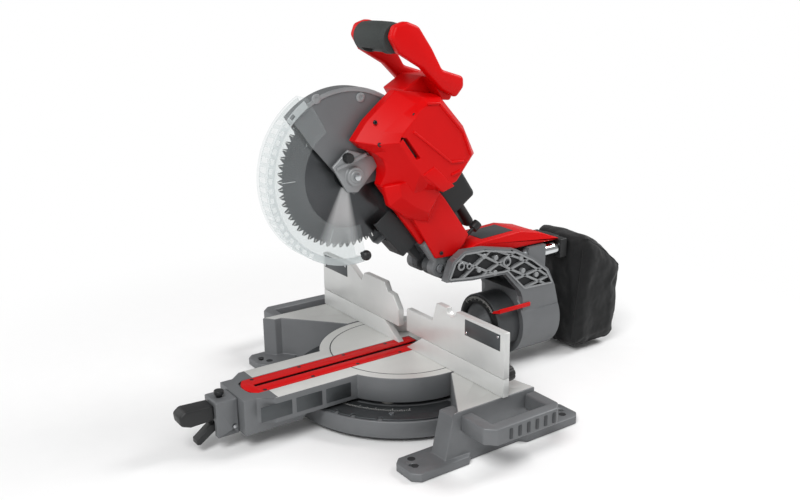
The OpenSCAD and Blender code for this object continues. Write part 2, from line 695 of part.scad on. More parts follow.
// Saw blade: each tooth is a hooked point and a gullet
tooth_step = 360 / teeth;
module blade() color("silver") in_head() translate([0, arbor_u, arbor_w]) difference() {
    along_x(-blade_t / 2, blade_t / 2) polygon([for (i = [0 : teeth - 1], k = [0 : 2])
        let (a = (i + [0, 0.3, 0.75][k]) * tooth_step, r = blade_r - [0, 1.5, 9][k])
            [r * cos(a), r * sin(a)]]);
    rod_x(-blade_t, blade_t, 0, 0, arbor_d / 2);
    for (a = [20 : 72 : 359]) rotate([a, 0, 0])
        block([-blade_t, blade_r - 32, -0.6], [blade_t, blade_r - 6, 0.6]);
}

// Pie shaped profile for a sector of the guard
function sector(a0, a1, r) = concat([[0, 0]],
    [for (i = [0 : 12]) let (a = a0 + (a1 - a0) * i / 12) [r * cos(a), r * sin(a)]]);
guard_from = 175;
guard_to = 335;
module lower_guard() color("lightcyan", 0.5) in_head() translate([0, arbor_u, arbor_w]) {
    difference() {
        intersection() {
            rod_x(-guard_x, guard_x, 0, 0, guard_r);
            along_x(-guard_x, guard_x) polygon(sector(guard_from, guard_to, guard_r * 1.2));
        }
        rod_x(-guard_x + 2.5, guard_x - 2.5, 0, 0, guard_r - 3);
        rod_x(-guard_x - cut, guard_x + cut, 0, 0, 88);
    }
    // Hub ring and spoke on the belt side
    difference() {
        union() {
            rod_x(-guard_x, -guard_x + 2.5, 0, 0, 38);
            along_x(-guard_x, -guard_x + 2.5) polygon([[0, 0], [-96, -30], [-60, -80]]);
        }
        rod_x(-guard_x - cut, 0, 0, 0, 27 + run * 2);
    }
}

module guard_knob() color("black") in_head() translate([0, arbor_u, arbor_w]) {
    rod_x(guard_x, guard_x + 8, 122, -66, 3);
    translate([guard_x + 15, 122, -66]) sphere(9);
}

// Cast bracket over the arbor bolt, screwed to the shell
module guard_bracket() color("silver") in_head() difference() {
    union() {
        along_x(guard_x + 1, 26)
            polygon([[-288, -52], [-292, -12], [-252, 18], [-232, 15], [-222, -40], [-236, -56]]);
        rod_x(26, 34, arbor_u, arbor_w, 16);
        along_x(14, guard_x + 1) polygon([[-262, 6], [-232, 6], [-232, 20], [-262, 20]]);
    }
    rod_x(10, 24, arbor_u, arbor_w, 15);
}

// The chute fits between the arm's covers
chute_x = lug_x - gap;
module dust_chute() color("black") in_head() difference() {
    union() {
        along_x(-chute_x, chute_x) polygon([[-150, -48], [-150, -10], [-100, 2], [-62, 2], [-62, -38]]);
        along_x(-10, 10) polygon([[-64, -20], [-64, -2], [-24, -4], [-24, -14]]);
    }
    along_x(-chute_x + 3.5, chute_x - 3.5)
        polygon([[-155, -44], [-155, -16], [-100, -5], [-66, -5], [-66, -34]]);
    rod_x(-14 - gap, 14 + gap, arbor_u, arbor_w, shell_r + gap);
}

grip_u = -395;
grip_w = 158;
leg_x = 64;
// D handle: two legs, a yoke and the core of the grip
leg_w = 22;
module leg() along_x(leg_x - leg_w, leg_x) polygon([[grip_u - 22, grip_w - 12], [grip_u - 20, grip_w + 16],
    [grip_u - 4, grip_w + 26], [grip_u + 20, grip_w + 30], [-258, 226], [-244, 220], [-244, 176],
    [-262, 176], [grip_u + 60, grip_w - 14], [grip_u + 20, grip_w - 24], [grip_u - 8, grip_w - 24]]);
module handle() color("red") in_head() difference() {
    union() {
        leg();
        mirror([1, 0, 0]) leg();
        along_x(-leg_x + leg_w, leg_x - leg_w)
            polygon([[-296, 178], [-270, 214], [-250, 214], [-236, 186], [-262, 176]]);
        rod_x(-leg_x + leg_w, leg_x - leg_w, grip_u, grip_w, grip_r - 5);
        along_x(-leg_x + leg_w, housing_in)
            polygon([[-300, 132], [-296, 178], [-244, 178], [-212, 170], [-204, 132]]);
    }
    block([-27, grip_u + 8, grip_w - 17], [27, grip_u + 40, grip_w + 7]);
    for (x = [-15, 15]) rod_y(grip_u - 20, grip_u + 20, x, grip_w - 4, 3 + run);
    rod_x(leg_x - leg_w - cut, leg_x - 12, -320, 182, 5 + run);
}
module handle_grip() color("darkslategray") in_head() difference() {
    rod_x(-leg_x + leg_w + 0.5, leg_x - leg_w - 0.5, grip_u, grip_w, grip_r);
    rod_x(-leg_x, leg_x, grip_u, grip_w, grip_r - 5);
    block([-27, grip_u + 8, grip_w - 40], [27, grip_u + 40, grip_w + 7]);
    for (x = [-15, 15]) rod_y(grip_u - 30, grip_u + 30, x, grip_w - 4, 3.5);
}

module trigger() color("black") in_head() {
    along_x(-26, 26) polygon([[grip_u + 17, grip_w - 14], [grip_u + 17, grip_w + 5],
        [grip_u + 26, grip_w + 4], [grip_u + 30, grip_w - 6], [grip_u + 25, grip_w - 15]]);
    for (x = [-15, 15]) rod_y(grip_u - 8, grip_u + 17, x, grip_w - 4, 3);
}

module lock_button() color("black") in_head() rod_x(leg_x - leg_w - 6, leg_x - 16, -320, 182, 5);

module battery() color("black") in_head() {
    block([-66, -104, 92], [8, -36, 158]);
    block([-56, -36, 114], [-8, 24, 134]);
}

base_casting();
carry_handles();
miter_scale();
scale_screws();
table_pivot_bolt();
fixed_fence();
fence_bolts();
left_fence();
right_fence();
left_fence_knob();
right_fence_knob();
turntable();
wear_pads();
kerf_plate();
kerf_screws();
front_block();
front_handle();
detent_lever();
lever_pin();
detent_pin();
detent_button();
bevel_trunnion();
bevel_scale();
arm_casting();
bevel_shaft();
linear_bushings();
bevel_pointer();
bevel_lock_knob();
slide_rails();
hinge_bracket();
rail_cover();
end_plate();
dust_tube();
dust_bag();
depth_stop();
pivot_pin();
return_spring();
head_casting();
upper_guard();
arm_covers();
motor_housing();
belt_case();
belt_cover();
drive_belt();
motor_stator();
motor_rotor();
shaft_bearings();
arbor_shaft();
blade_flanges();
arbor_bolt();
blade();
lower_guard();
guard_knob();
guard_bracket();
dust_chute();
handle();
handle_grip();
trigger();
lock_button();
battery();
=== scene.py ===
"""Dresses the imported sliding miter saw: finishes, detailed pieces, camera and soft light.

Every length is written in millimetres and turned to metres by MM. The head's pieces are written
in the head frame: X, then u and w, the lowered head with the chop axis at the origin.
"""

from __future__ import annotations

import json
import logging
import math
from dataclasses import dataclass, field
from enum import Enum
from typing import Iterable, Optional, Sequence

import bpy
from mathutils import Matrix, Vector

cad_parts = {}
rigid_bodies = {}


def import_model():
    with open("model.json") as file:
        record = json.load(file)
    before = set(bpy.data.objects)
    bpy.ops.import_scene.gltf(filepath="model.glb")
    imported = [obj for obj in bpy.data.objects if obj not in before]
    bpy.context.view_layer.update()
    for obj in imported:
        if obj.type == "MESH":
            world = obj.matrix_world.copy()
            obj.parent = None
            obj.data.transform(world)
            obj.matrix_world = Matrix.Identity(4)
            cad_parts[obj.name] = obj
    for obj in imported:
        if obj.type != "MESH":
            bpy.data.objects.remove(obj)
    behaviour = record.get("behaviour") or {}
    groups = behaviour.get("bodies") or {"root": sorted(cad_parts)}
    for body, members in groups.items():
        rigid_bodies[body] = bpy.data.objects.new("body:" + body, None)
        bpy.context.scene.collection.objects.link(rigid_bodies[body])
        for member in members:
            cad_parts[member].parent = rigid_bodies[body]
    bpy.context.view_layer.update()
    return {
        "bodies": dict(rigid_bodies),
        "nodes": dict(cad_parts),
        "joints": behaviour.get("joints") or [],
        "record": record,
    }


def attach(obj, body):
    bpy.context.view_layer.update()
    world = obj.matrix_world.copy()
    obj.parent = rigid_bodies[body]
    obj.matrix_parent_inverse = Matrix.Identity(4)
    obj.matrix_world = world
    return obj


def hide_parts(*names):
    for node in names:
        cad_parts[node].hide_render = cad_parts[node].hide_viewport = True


LOG = logging.getLogger("saw")
MM = 0.001
CHOP = math.radians(55.0)
CHOP_Y, CHOP_Z = 58.0, 238.0
ARBOR = (-250.0, -30.0)
TABLE_Z = 90.0
# Radius of a profile's ends that lie on its axis
CORE = 0.001
RIGHT = Vector((1, 0, 0))
UP = Vector((0, 0, 1))

Point = Sequence[float]
Outline = Sequence[Point]
Piece = bpy.types.Object
Tree = bpy.types.NodeTree
Socket = bpy.types.NodeSocket


def head_point(x: float, u: float, w: float) -> Vector:
    """Places a point of the head frame in the raised rest pose.

    Args:
        x: across, in millimetres.
        u: along the lowered head, rearwards.
        w: up from the chop axis on the lowered head.

    Returns:
        The point in the row frame, in metres.
    """
    c, s = math.cos(CHOP), math.sin(CHOP)
    return Vector((x, CHOP_Y + u * c + w * s, CHOP_Z - u * s + w * c)) * MM


def row_point(x: float, y: float, z: float) -> Vector:
    """Gives a point of the row frame in metres, from millimetres."""
    return Vector((x, y, z)) * MM


class Plane(Enum):
    """The plane that a flat outline is drawn in, and the axis it is pulled along."""

    SIDE = "outline in (Y, Z), pulled along X"
    FRONT = "outline in (X, Z), pulled along Y"
    TOP = "outline in (X, Y), pulled along Z"
    HEAD = "outline in (u, w) of the head frame, pulled along X"

    def place(self, a: float, b: float, depth: float) -> Vector:
        """Places an outline's point at a depth.

        Args:
            a: first coordinate of the outline, in millimetres.
            b: second coordinate of the outline.
            depth: coordinate along the pull.

        Returns:
            The point in the row frame, in metres.
        """
        if self is Plane.SIDE:
            return row_point(depth, a, b)
        if self is Plane.FRONT:
            return row_point(a, depth, b)
        if self is Plane.TOP:
            return row_point(a, b, depth)
        return head_point(depth, a, b)


class Surface(Enum):
    """How a finish's surface was made, which decides its pattern."""

    CAST = "sand cast and powder coated"
    MILLED = "milled flat, with long tool marks"
    TURNED = "faced on a lathe, with fine rings"
    MOULDED = "moulded, with a spark eroded grain"
    GLOSSY = "moulded in a polished tool"
    RUBBER = "overmoulded soft grip"
    CLEAR = "moulded clear sheet"
    WOVEN = "woven cloth"
    DRAWN = "drawn or ground bright metal"


def linear(code: str) -> tuple[float, float, float, float]:
    """Turns an sRGB hex colour to linear light.

    Args:
        code: six hex digits with a leading hash.

    Returns:
        Red, green, blue and alpha for a shader socket.
    """
    parts = [int(code[i:i + 2], 16) / 255 for i in (1, 3, 5)]
    low = [p / 12.92 if p <= 0.04045 else ((p + 0.055) / 1.055) ** 2.4 for p in parts]
    return (low[0], low[1], low[2], 1.0)


def plug(tree: Tree, node: bpy.types.Node, sockets: dict) -> None:
    """Sets or links the inputs of a shader node.

    Args:
        tree: the material's node tree.
        node: the node.
        sockets: input name or number to a value, or to an output socket to link.
    """
    for name, value in sockets.items():
        if isinstance(value, Socket):
            tree.links.new(value, node.inputs[name])
        else:
            node.inputs[name].default_value = value


def add_node(tree: Tree, kind: str, sockets: Optional[dict] = None, **settings):
    """Adds a shader node with its settings, values and links.

    Args:
        tree: the material's node tree.
        kind: the node's type name.
        sockets: input name or number to a value, or to an output socket to link.
        **settings: attributes of the node.

    Returns:
        The new node.
    """
    node = tree.nodes.new(kind)
    for name, value in settings.items():
        setattr(node, name, value)
    plug(tree, node, sockets or {})
    return node


def mixed(tree: Tree, factor: Socket, first, second) -> Socket:
    """Mixes two colours, each a value or a socket.

    Args:
        tree: the material's node tree.
        factor: how much of the second colour shows.
        first: the first colour.
        second: the second colour.

    Returns:
        The mixed colour.
    """
    # The Mix node keeps its colour sockets after the number and vector ones
    return add_node(tree, "ShaderNodeMix", {0: factor, 6: first, 7: second}, data_type="RGBA").outputs[2]


@dataclass(frozen=True)
class Finish:
    """One material of the saw: what it is, its two tones and the size of its grain."""

    name: str
    surface: Surface
    colour: str
    second: str
    roughness: float
    metallic: float = 0.0
    grain_mm: float = 1.0
    bump: float = 0.2
    coat: float = 0.0
    specular: float = 0.5
    seen: float = 1.0
    centre_mm: tuple[float, float, float] = (0.0, 0.0, 0.0)
    axis: str = "Z"

    def material(self) -> bpy.types.Material:
        """Builds the material once and gives it back afterwards.

        Returns:
            The Blender material of this finish.
        """
        found = bpy.data.materials.get(self.name)
        if found:
            return found
        made = bpy.data.materials.new(self.name)
        made.use_nodes = True
        tree = made.node_tree
        shader = tree.nodes["Principled BSDF"]
        place = add_node(tree, "ShaderNodeTexCoord").outputs["Object"]
        centre = tuple(-c * MM for c in self.centre_mm)
        spot = add_node(tree, "ShaderNodeMapping", {"Vector": place, "Location": centre}).outputs[0]
        height = self._pattern(tree, spot)
        # Broad cloudy tone, about forty millimetres across, so that no face is one flat colour
        cloud = add_node(tree, "ShaderNodeTexNoise", {"Vector": place, "Scale": 25.0, "Detail": 3.0})
        tone = mixed(tree, cloud.outputs["Fac"], linear(self.colour), linear(self.second))
        spread = 0.22 if self.surface in (Surface.CAST, Surface.RUBBER) else 0.3
        rough = add_node(tree, "ShaderNodeMapRange", {
            "Value": height, "To Min": max(0.02, self.roughness * (1 - spread)),
            "To Max": min(1.0, self.roughness * (1 + spread))})
        relief = add_node(tree, "ShaderNodeBump", {
            "Height": height, "Strength": self.bump, "Distance": self.grain_mm * MM * 0.5})
        plug(tree, shader, {
            "Metallic": self.metallic, "Coat Weight": self.coat, "Coat Roughness": 0.12,
            "Specular IOR Level": self.specular, "Base Color": tone, "Roughness": rough.outputs[0],
            "Normal": relief.outputs[0]})
        # The saw plate's colour carries a painted highlight wedge
        if self.name == "ground_saw_plate":
            self._grinding_and_painted_highlight(tree, spot, tone)
        if self.surface is Surface.CLEAR:
            # A thin clear sheet: most light passes straight through, the rest is a pale sheen
            clear = add_node(tree, "ShaderNodeBsdfTransparent", {"Color": (0.95, 0.96, 0.96, 1)})
            sheet = add_node(tree, "ShaderNodeMixShader", {
                0: self.seen, 1: clear.outputs[0], 2: shader.outputs[0]})
            plug(tree, tree.nodes["Material Output"], {"Surface": sheet.outputs[0]})
        if self.surface is Surface.WOVEN:
            plug(tree, shader, {"Sheen Weight": 0.08, "Sheen Roughness": 0.5})
        return made

    @staticmethod
    def _grinding_and_painted_highlight(tree: Tree, spot: Socket, tone: Socket) -> None:
        """Gives the saw plate a painted highlight, a paler wedge fixed in its colour, and the spread
        highlight of a plate ground in rings.

        Args:
            tree: the material's node tree.
            spot: Object coordinates, centred on the arbor.
            tone: the plate's colour.
        """
        # Painted highlight: the paler wedge is fixed in the plate's colour at this turn and turns with the
        # blade
        highlight_turn, highlight_edge, highlight_full = 1.72, 0.94, 0.985
        flat = add_node(tree, "ShaderNodeSeparateXYZ", {"Vector": spot}).outputs
        turn = add_node(tree, "ShaderNodeMath", {0: flat["Z"], 1: flat["Y"]}, operation="ARCTAN2")
        swing = add_node(tree, "ShaderNodeMath", {0: turn.outputs[0], 1: highlight_turn}, operation="ADD")
        lobe = add_node(tree, "ShaderNodeMath", {0: swing.outputs[0]}, operation="COSINE")
        bright = add_node(tree, "ShaderNodeMapRange", {
            "Value": lobe.outputs[0], "From Min": highlight_edge, "From Max": highlight_full})
        radial = add_node(tree, "ShaderNodeVectorMath", {0: (0, 1, 1), 1: spot}, operation="MULTIPLY")
        turned = add_node(tree, "ShaderNodeVectorTransform", {"Vector": radial.outputs[0]},
                          vector_type="VECTOR", convert_from="OBJECT", convert_to="WORLD")
        plug(tree, tree.nodes["Principled BSDF"], {
            "Base Color": mixed(tree, bright.outputs[0], tone, linear("#c9cacb")),
            "Tangent": turned.outputs[0], "Anisotropic": 0.95})

    def _pattern(self, tree: Tree, spot: Socket) -> Socket:
        """Adds the height pattern of the surface.

        Args:
            tree: the material's node tree.
            spot: Object coordinates, centred on the piece.

        Returns:
            A height from 0 to 1.
        """
        fine = 1.0 / (self.grain_mm * MM)
        # A wave texture repeats every 0.314 of its scaled unit
        wave = 0.314 / (self.grain_mm * MM)
        if self.surface is Surface.TURNED:
            return add_node(tree, "ShaderNodeTexWave", {
                "Vector": spot, "Scale": wave, "Distortion": 1.5, "Detail": 2.0},
                wave_type="RINGS", rings_direction=self.axis).outputs["Fac"]
        if self.surface in (Surface.MILLED, Surface.DRAWN):
            stretch = {"X": (0.02, 1, 1), "Y": (1, 0.02, 1), "Z": (1, 1, 0.02)}[self.axis]
            lines = add_node(tree, "ShaderNodeMapping", {"Vector": spot, "Scale": stretch})
            return add_node(tree, "ShaderNodeTexNoise", {
                "Vector": lines.outputs[0], "Scale": fine, "Detail": 3.0}).outputs["Fac"]
        if self.surface is Surface.WOVEN:
            warp = add_node(tree, "ShaderNodeTexWave", {"Vector": spot, "Scale": wave},
                            wave_type="BANDS", bands_direction="Z")
            weft = add_node(tree, "ShaderNodeTexWave", {"Vector": spot, "Scale": wave},
                            wave_type="BANDS", bands_direction="DIAGONAL")
            return add_node(tree, "ShaderNodeMath", {0: warp.outputs["Fac"], 1: weft.outputs["Fac"]},
                            operation="MULTIPLY").outputs[0]
        if self.surface is Surface.RUBBER:
            cells = add_node(tree, "ShaderNodeTexVoronoi", {"Vector": spot, "Scale": fine})
            return cells.outputs["Distance"]
        return add_node(tree, "ShaderNodeTexNoise", {
            "Vector": spot, "Scale": fine, "Detail": 5.0, "Roughness": 0.6}).outputs["Fac"]


# Powder coat over sand cast aluminium: dull mid grey with a fine orange peel
CAST_GREY = Finish("cast_aluminium_grey", Surface.CAST, "#747678", "#696b6d", 0.50, 0.35, 1.1, 0.30)
CAST_DARK = Finish("cast_aluminium_dark", Surface.CAST, "#4a4c4e", "#404244", 0.55, 0.35, 1.1, 0.30)
# Near-black grey laid in recesses and pockets: painted shade, not a colour of the casting
CAST_SHADE = Finish("painted_shade_floor", Surface.CAST, "#2c2d2f", "#242527", 0.62, 0.2, 1.1, 0.30)
# Paler grey of the same coat; on the arm cheek's lattice it stands for painted light
CAST_LIGHT = Finish("cast_aluminium_light", Surface.CAST, "#9a9c9d", "#8d8f91", 0.48, 0.45, 1.0, 0.26)
# Bare faced aluminium: pale, with tool marks that catch a streak of light
TURNED_TABLE = Finish("turned_aluminium", Surface.TURNED, "#dededb", "#d2d2cf", 0.42, 0.40, 1.6, 0.10)
MILLED_FENCE = Finish("milled_aluminium", Surface.MILLED, "#d9dad8", "#cbcccb", 0.42, 0.40, 0.8, 0.10,
                      axis="X")
MILLED_TOP = Finish("milled_wing_tops", Surface.MILLED, "#cfd0cd", "#c2c3c1", 0.44, 0.40, 0.8, 0.10, axis="X")
# Red ABS from a polished tool: saturated, with a soft clear highlight
RED_GLOSS = Finish("red_abs", Surface.GLOSSY, "#d00204", "#c60103", 0.42, 0.0, 0.9, 0.05, specular=0.16)
RED_INSERT = Finish("red_insert_plastic", Surface.MOULDED, "#c80306", "#bc0205", 0.48, 0.0, 0.8, 0.12,
                    specular=0.16)
# Black nylon and glass filled plastic: dull, with a spark eroded grain
BLACK_PLASTIC = Finish("black_nylon", Surface.MOULDED, "#1d1e1f", "#161718", 0.50, 0.0, 0.7, 0.20)
GRIP_RUBBER = Finish("grip_elastomer", Surface.RUBBER, "#2f3433", "#282c2b", 0.72, 0.0, 1.6, 0.22)
CHUTE_RUBBER = Finish("chute_rubber", Surface.MOULDED, "#26282a", "#1e2021", 0.62, 0.0, 1.0, 0.18)
# Cold drawn and ground steels
BRIGHT_STEEL = Finish("bright_steel", Surface.DRAWN, "#c9cbcd", "#bcbfc1", 0.24, 1.0, 0.6, 0.06, axis="X")
RAIL_STEEL = Finish("hard_chrome_tube", Surface.DRAWN, "#d6d8da", "#cccfd1", 0.14, 1.0, 0.6, 0.03, axis="Y")
DARK_STEEL = Finish("black_oxide_steel", Surface.DRAWN, "#3a3c3e", "#303234", 0.42, 0.9, 0.6, 0.08, axis="X")
BLADE_STEEL = Finish("ground_saw_plate", Surface.TURNED, "#5c5e60", "#4e5052", 0.34, 1.0, 1.2, 0.06,
                     centre_mm=tuple(head_point(0, *ARBOR) / MM), axis="X")
CARBIDE = Finish("carbide_tips", Surface.DRAWN, "#d9d9d6", "#c9c9c6", 0.22, 1.0, 0.5, 0.05, axis="X")
CLEAR_GUARD = Finish("clear_polycarbonate", Surface.CLEAR, "#e4e8e9", "#dae0e1", 0.10, 0.0, 8.0, 0.04,
                     seen=0.06)
FROSTED = Finish("frosted_polycarbonate", Surface.CLEAR, "#dfe4e5", "#d3d9da", 0.30, 0.0, 2.0, 0.15,
                 seen=0.40)
BAG_CLOTH = Finish("black_filter_cloth", Surface.WOVEN, "#101112", "#0b0c0d", 0.84, 0.0, 1.4, 0.30,
                   specular=0.3)
COPPER = Finish("enamelled_winding", Surface.DRAWN, "#a4642c", "#8a5121", 0.35, 0.9, 0.7, 0.20, axis="X")
PAD_WHITE = Finish("acetal_pads", Surface.MOULDED, "#dcdad3", "#d2d0c8", 0.5, 0.0, 0.8, 0.05)
PLATE_BLACK = Finish("black_scale_plate", Surface.MOULDED, "#18191a", "#131415", 0.38, 0.2, 0.6, 0.08)
PLATE_GREY = Finish("dark_zinc_plate", Surface.MILLED, "#5b5e60", "#4f5254", 0.42, 0.8, 0.6, 0.08, axis="X")
MARK_WHITE = Finish("pale_scale_marks", Surface.MOULDED, "#d8d8d4", "#cdcdc9", 0.5, 0.0, 0.5, 0.05)
FLOOR_PALE = Finish("pale_studio_floor", Surface.MOULDED, "#f4f4f4", "#f1f1f1", 0.9, 0.0, 3.0, 0.02)


class Bench:
    """The modelling tools: each makes or shapes a piece with Blender's own operators."""

    @staticmethod
    def deselect() -> None:
        """Leaves nothing selected."""
        if bpy.context.object and bpy.context.object.mode != "OBJECT":
            bpy.ops.object.mode_set(mode="OBJECT")
        bpy.ops.object.select_all(action="DESELECT")

    @staticmethod
    def pick(piece: Piece) -> None:
        """Makes a piece the only selected one, and active."""
        Bench.deselect()
        piece.select_set(True)
        bpy.context.view_layer.objects.active = piece

    @staticmethod
    def edit(piece: Piece) -> None:
        """Opens a piece in edit mode with all of it selected."""
        Bench.pick(piece)
        bpy.ops.object.mode_set(mode="EDIT")
        bpy.ops.mesh.select_all(action="SELECT")

    @staticmethod
    def close() -> None:
        """Leaves edit mode."""
        bpy.ops.object.mode_set(mode="OBJECT")

    @staticmethod
    def settle(piece: Piece) -> Piece:
        """Merges doubles and turns all faces outwards.

        Args:
            piece: the mesh object.

        Returns:
            The same object.
        """
        Bench.edit(piece)
        bpy.ops.mesh.remove_doubles(threshold=0.00001)
        bpy.ops.mesh.normals_make_consistent(inside=False)
        Bench.close()
        return piece

    @staticmethod
    def link(name: str, data: bpy.types.ID) -> Piece:
        """Puts new data into the scene.

        Args:
            name: the object's name.
            data: its mesh, curve, lamp or camera.

        Returns:
            The new object.
        """
        made = bpy.data.objects.new(name, data)
        bpy.context.scene.collection.objects.link(made)
        return made

    @staticmethod
    def outline(name: str, spots: Sequence[Vector], fill: str) -> Piece:
        """Starts a piece as one closed loop of points.

        Args:
            name: the piece's name.
            spots: the points, in metres.
            fill: Blender's word for how the loop is filled.

        Returns:
            The mesh object.
        """
        Bench.deselect()
        bpy.ops.mesh.primitive_circle_add(vertices=len(spots), radius=0.01, fill_type=fill)
        piece = bpy.context.object
        piece.name = piece.data.name = name
        for vertex, spot in zip(piece.data.vertices, spots):
            vertex.co = spot
        return piece

    @staticmethod
    def apply(piece: Piece, kind: str, **settings) -> None:
        """Adds a modifier and applies it.

        Args:
            piece: the mesh object.
            kind: the modifier's type.
            **settings: its attributes.
        """
        Bench.pick(piece)
        added = piece.modifiers.new(kind, kind)
        for name, value in settings.items():
            setattr(added, name, value)
        bpy.ops.object.modifier_apply(modifier=added.name)

    @staticmethod
    def smooth(piece: Piece, angle: float) -> Piece:
        """Shades a piece smooth, apart from its sharper edges.

        Args:
            piece: the mesh object.
            angle: edges sharper than this many degrees stay sharp.

        Returns:
            The same object.
        """
        Bench.pick(piece)
        bpy.ops.object.shade_smooth_by_angle(angle=math.radians(angle))
        return piece

    @staticmethod
    def loft(name: str, rings: Sequence[Sequence[Vector]]) -> Piece:
        """Pulls a closed outline through a row of rings with the same count of points.

        Args:
            name: the piece's name.
            rings: the outlines in order, in metres.

        Returns:
            A closed mesh object.
        """
        piece = Bench.outline(name, rings[0], "NGON")
        for last, ring in zip(rings, rings[1:]):
            Bench.edit(piece)
            bpy.ops.mesh.select_all(action="DESELECT")
            Bench.close()
            Bench._cap(piece, len(ring)).select = True
            bpy.ops.object.mode_set(mode="EDIT")
            bpy.ops.mesh.select_mode(type="FACE")
            bpy.ops.mesh.extrude_region_move()
            Bench.close()
            order = Bench._cap_loop(piece, last)
            for index, spot in zip(order, ring):
                piece.data.vertices[index].co = spot
        return Bench.settle(piece)

    @staticmethod
    def _cap(piece: Piece, count: int) -> bpy.types.MeshPolygon:
        """Finds a loft's open end: the newest face with as many corners as a ring has points."""
        caps = [face for face in piece.data.polygons if len(face.vertices) == count]
        return max(caps, key=lambda face: min(face.vertices))

    @staticmethod
    def _cap_loop(piece: Piece, last: Sequence[Vector]) -> list[int]:
        """Gives the newest cap's corners in the order of the ring that they still lie on.

        Args:
            piece: the loft, with its new cap selected and not yet moved.
            last: the ring before.

        Returns:
            Vertex numbers.
        """
        cap = [p for p in piece.data.polygons if p.select][-1]
        spots = piece.data.vertices
        return [min(cap.vertices, key=lambda i: (spots[i].co - spot).length) for spot in last]

    @staticmethod
    def prism(name: str, plane: Plane, outline: Outline, low: float, high: float,
              bevel: float = 0.0, segments: int = 2) -> Piece:
        """Pulls a flat outline into a solid and rounds its edges.

        Args:
            name: the piece's name.
            plane: the plane of the outline.
            outline: points in millimetres.
            low: start of the pull.
            high: end of the pull.
            bevel: edge radius in millimetres, or 0 for none.
            segments: steps across a rounded edge.

        Returns:
            The mesh object.
        """
        rings = [[plane.place(a, b, depth) for a, b in outline] for depth in (low, high)]
        piece = Bench.loft(name, rings)
        return Bench.round(piece, bevel, segments) if bevel else piece

    @staticmethod
    def round(piece: Piece, width: float, segments: int = 2, angle: float = 30.0,
              clamp: bool = True) -> Piece:
        """Rounds the sharp edges with an applied bevel.

        Args:
            piece: the mesh object.
            width: bevel width in millimetres.
            segments: steps across the edge.
            angle: edges sharper than this many degrees are rounded.
            clamp: whether the width is held back where edges would cross.

        Returns:
            The same object.
        """
        Bench.apply(piece, "BEVEL", width=width * MM, segments=segments, limit_method="ANGLE",
                    angle_limit=math.radians(angle), use_clamp_overlap=clamp)
        return Bench.smooth(piece, 38)

    @staticmethod
    def turned(name: str, profile: Outline, origin: Vector, axis: Vector, steps: int = 40,
               closed: bool = False) -> Piece:
        """Spins a profile about an axis.

        Args:
            name: the piece's name.
            profile: (radius, distance along the axis) in millimetres.
            origin: a point on the axis, in metres.
            axis: the direction of the axis.
            steps: steps of the full turn.
            closed: whether the profile's last point joins its first.

        Returns:
            The mesh object.
        """
        along = axis.normalized()
        side = along.orthogonal().normalized()
        spots = [origin + side * radius * MM + along * depth * MM for radius, depth in profile]
        piece = Bench.outline(name, spots, "NOTHING")
        Bench.edit(piece)
        if not closed:
            bpy.ops.mesh.select_all(action="DESELECT")
            Bench.close()
            last = len(profile) - 1
            for edge in piece.data.edges:
                edge.select = set(edge.vertices) == {0, last}
            bpy.ops.object.mode_set(mode="EDIT")
            bpy.ops.mesh.select_mode(type="EDGE")
            bpy.ops.mesh.delete(type="EDGE_FACE")
            bpy.ops.mesh.select_mode(type="VERT")
            bpy.ops.mesh.select_all(action="SELECT")
        bpy.ops.mesh.spin(steps=steps, angle=math.tau, center=origin, axis=along)
        Bench.close()
        return Bench.smooth(Bench.settle(piece), 38)

    @staticmethod
    def lathe(name: str, profile: Outline, origin: Vector, steps: int,
              axis: Vector = RIGHT) -> Piece:
        """Spins a profile into a solid, closed to the axis at both ends.

        Args:
            name: the piece's name.
            profile: (radius, distance along the axis) in millimetres, without the axis' own points.
            origin: a point on the axis, in metres.
            steps: steps of the full turn.
            axis: the direction of the axis.

        Returns:
            The mesh object.
        """
        ends = [(CORE, profile[0][1])], [(CORE, profile[-1][1])]
        return Bench.turned(name, [*ends[0], *profile, *ends[1]], origin, axis, steps)

    @staticmethod
    def from_node(node: Piece, name: str, width: float = 0.0, segments: int = 2,
                  clamp: bool = False) -> Piece:
        """Copies a CAD node as a new mesh with joined faces and rounded edges.

        Args:
            node: the CAD node's object.
            name: the new piece's name.
            width: bevel width in millimetres, or 0 for none.
            segments: steps across a rounded edge.
            clamp: whether the bevel is held back where edges would cross.

        Returns:
            The new object.
        """
        piece = Bench.link(name, node.data.copy())
        piece.data.name = name
        piece.data.materials.clear()
        Bench.edit(piece)
        bpy.ops.mesh.remove_doubles(threshold=0.000004)
        bpy.ops.mesh.dissolve_limited(angle_limit=math.radians(0.6))
        Bench.close()
        return Bench.round(piece, width, segments, clamp=clamp) if width else Bench.smooth(piece, 30)

    @staticmethod
    def cut(piece: Piece, tool: Piece) -> Piece:
        """Takes a tool's volume out of a piece and removes the tool.

        Args:
            piece: the mesh object that is cut.
            tool: the cutting mesh object.

        Returns:
            The cut piece.
        """
        Bench.apply(piece, "BOOLEAN", operation="DIFFERENCE", solver="EXACT", object=tool)
        bpy.data.objects.remove(tool)
        return Bench.smooth(piece, 30)

    @staticmethod
    def join(pieces: Sequence[Piece], name: str) -> Piece:
        """Joins pieces into one object.

        Args:
            pieces: the mesh objects.
            name: the joined piece's name.

        Returns:
            The joined object.
        """
        Bench.deselect()
        for piece in pieces:
            piece.select_set(True)
        bpy.context.view_layer.objects.active = pieces[0]
        bpy.ops.object.join()
        pieces[0].name = pieces[0].data.name = name
        return pieces[0]


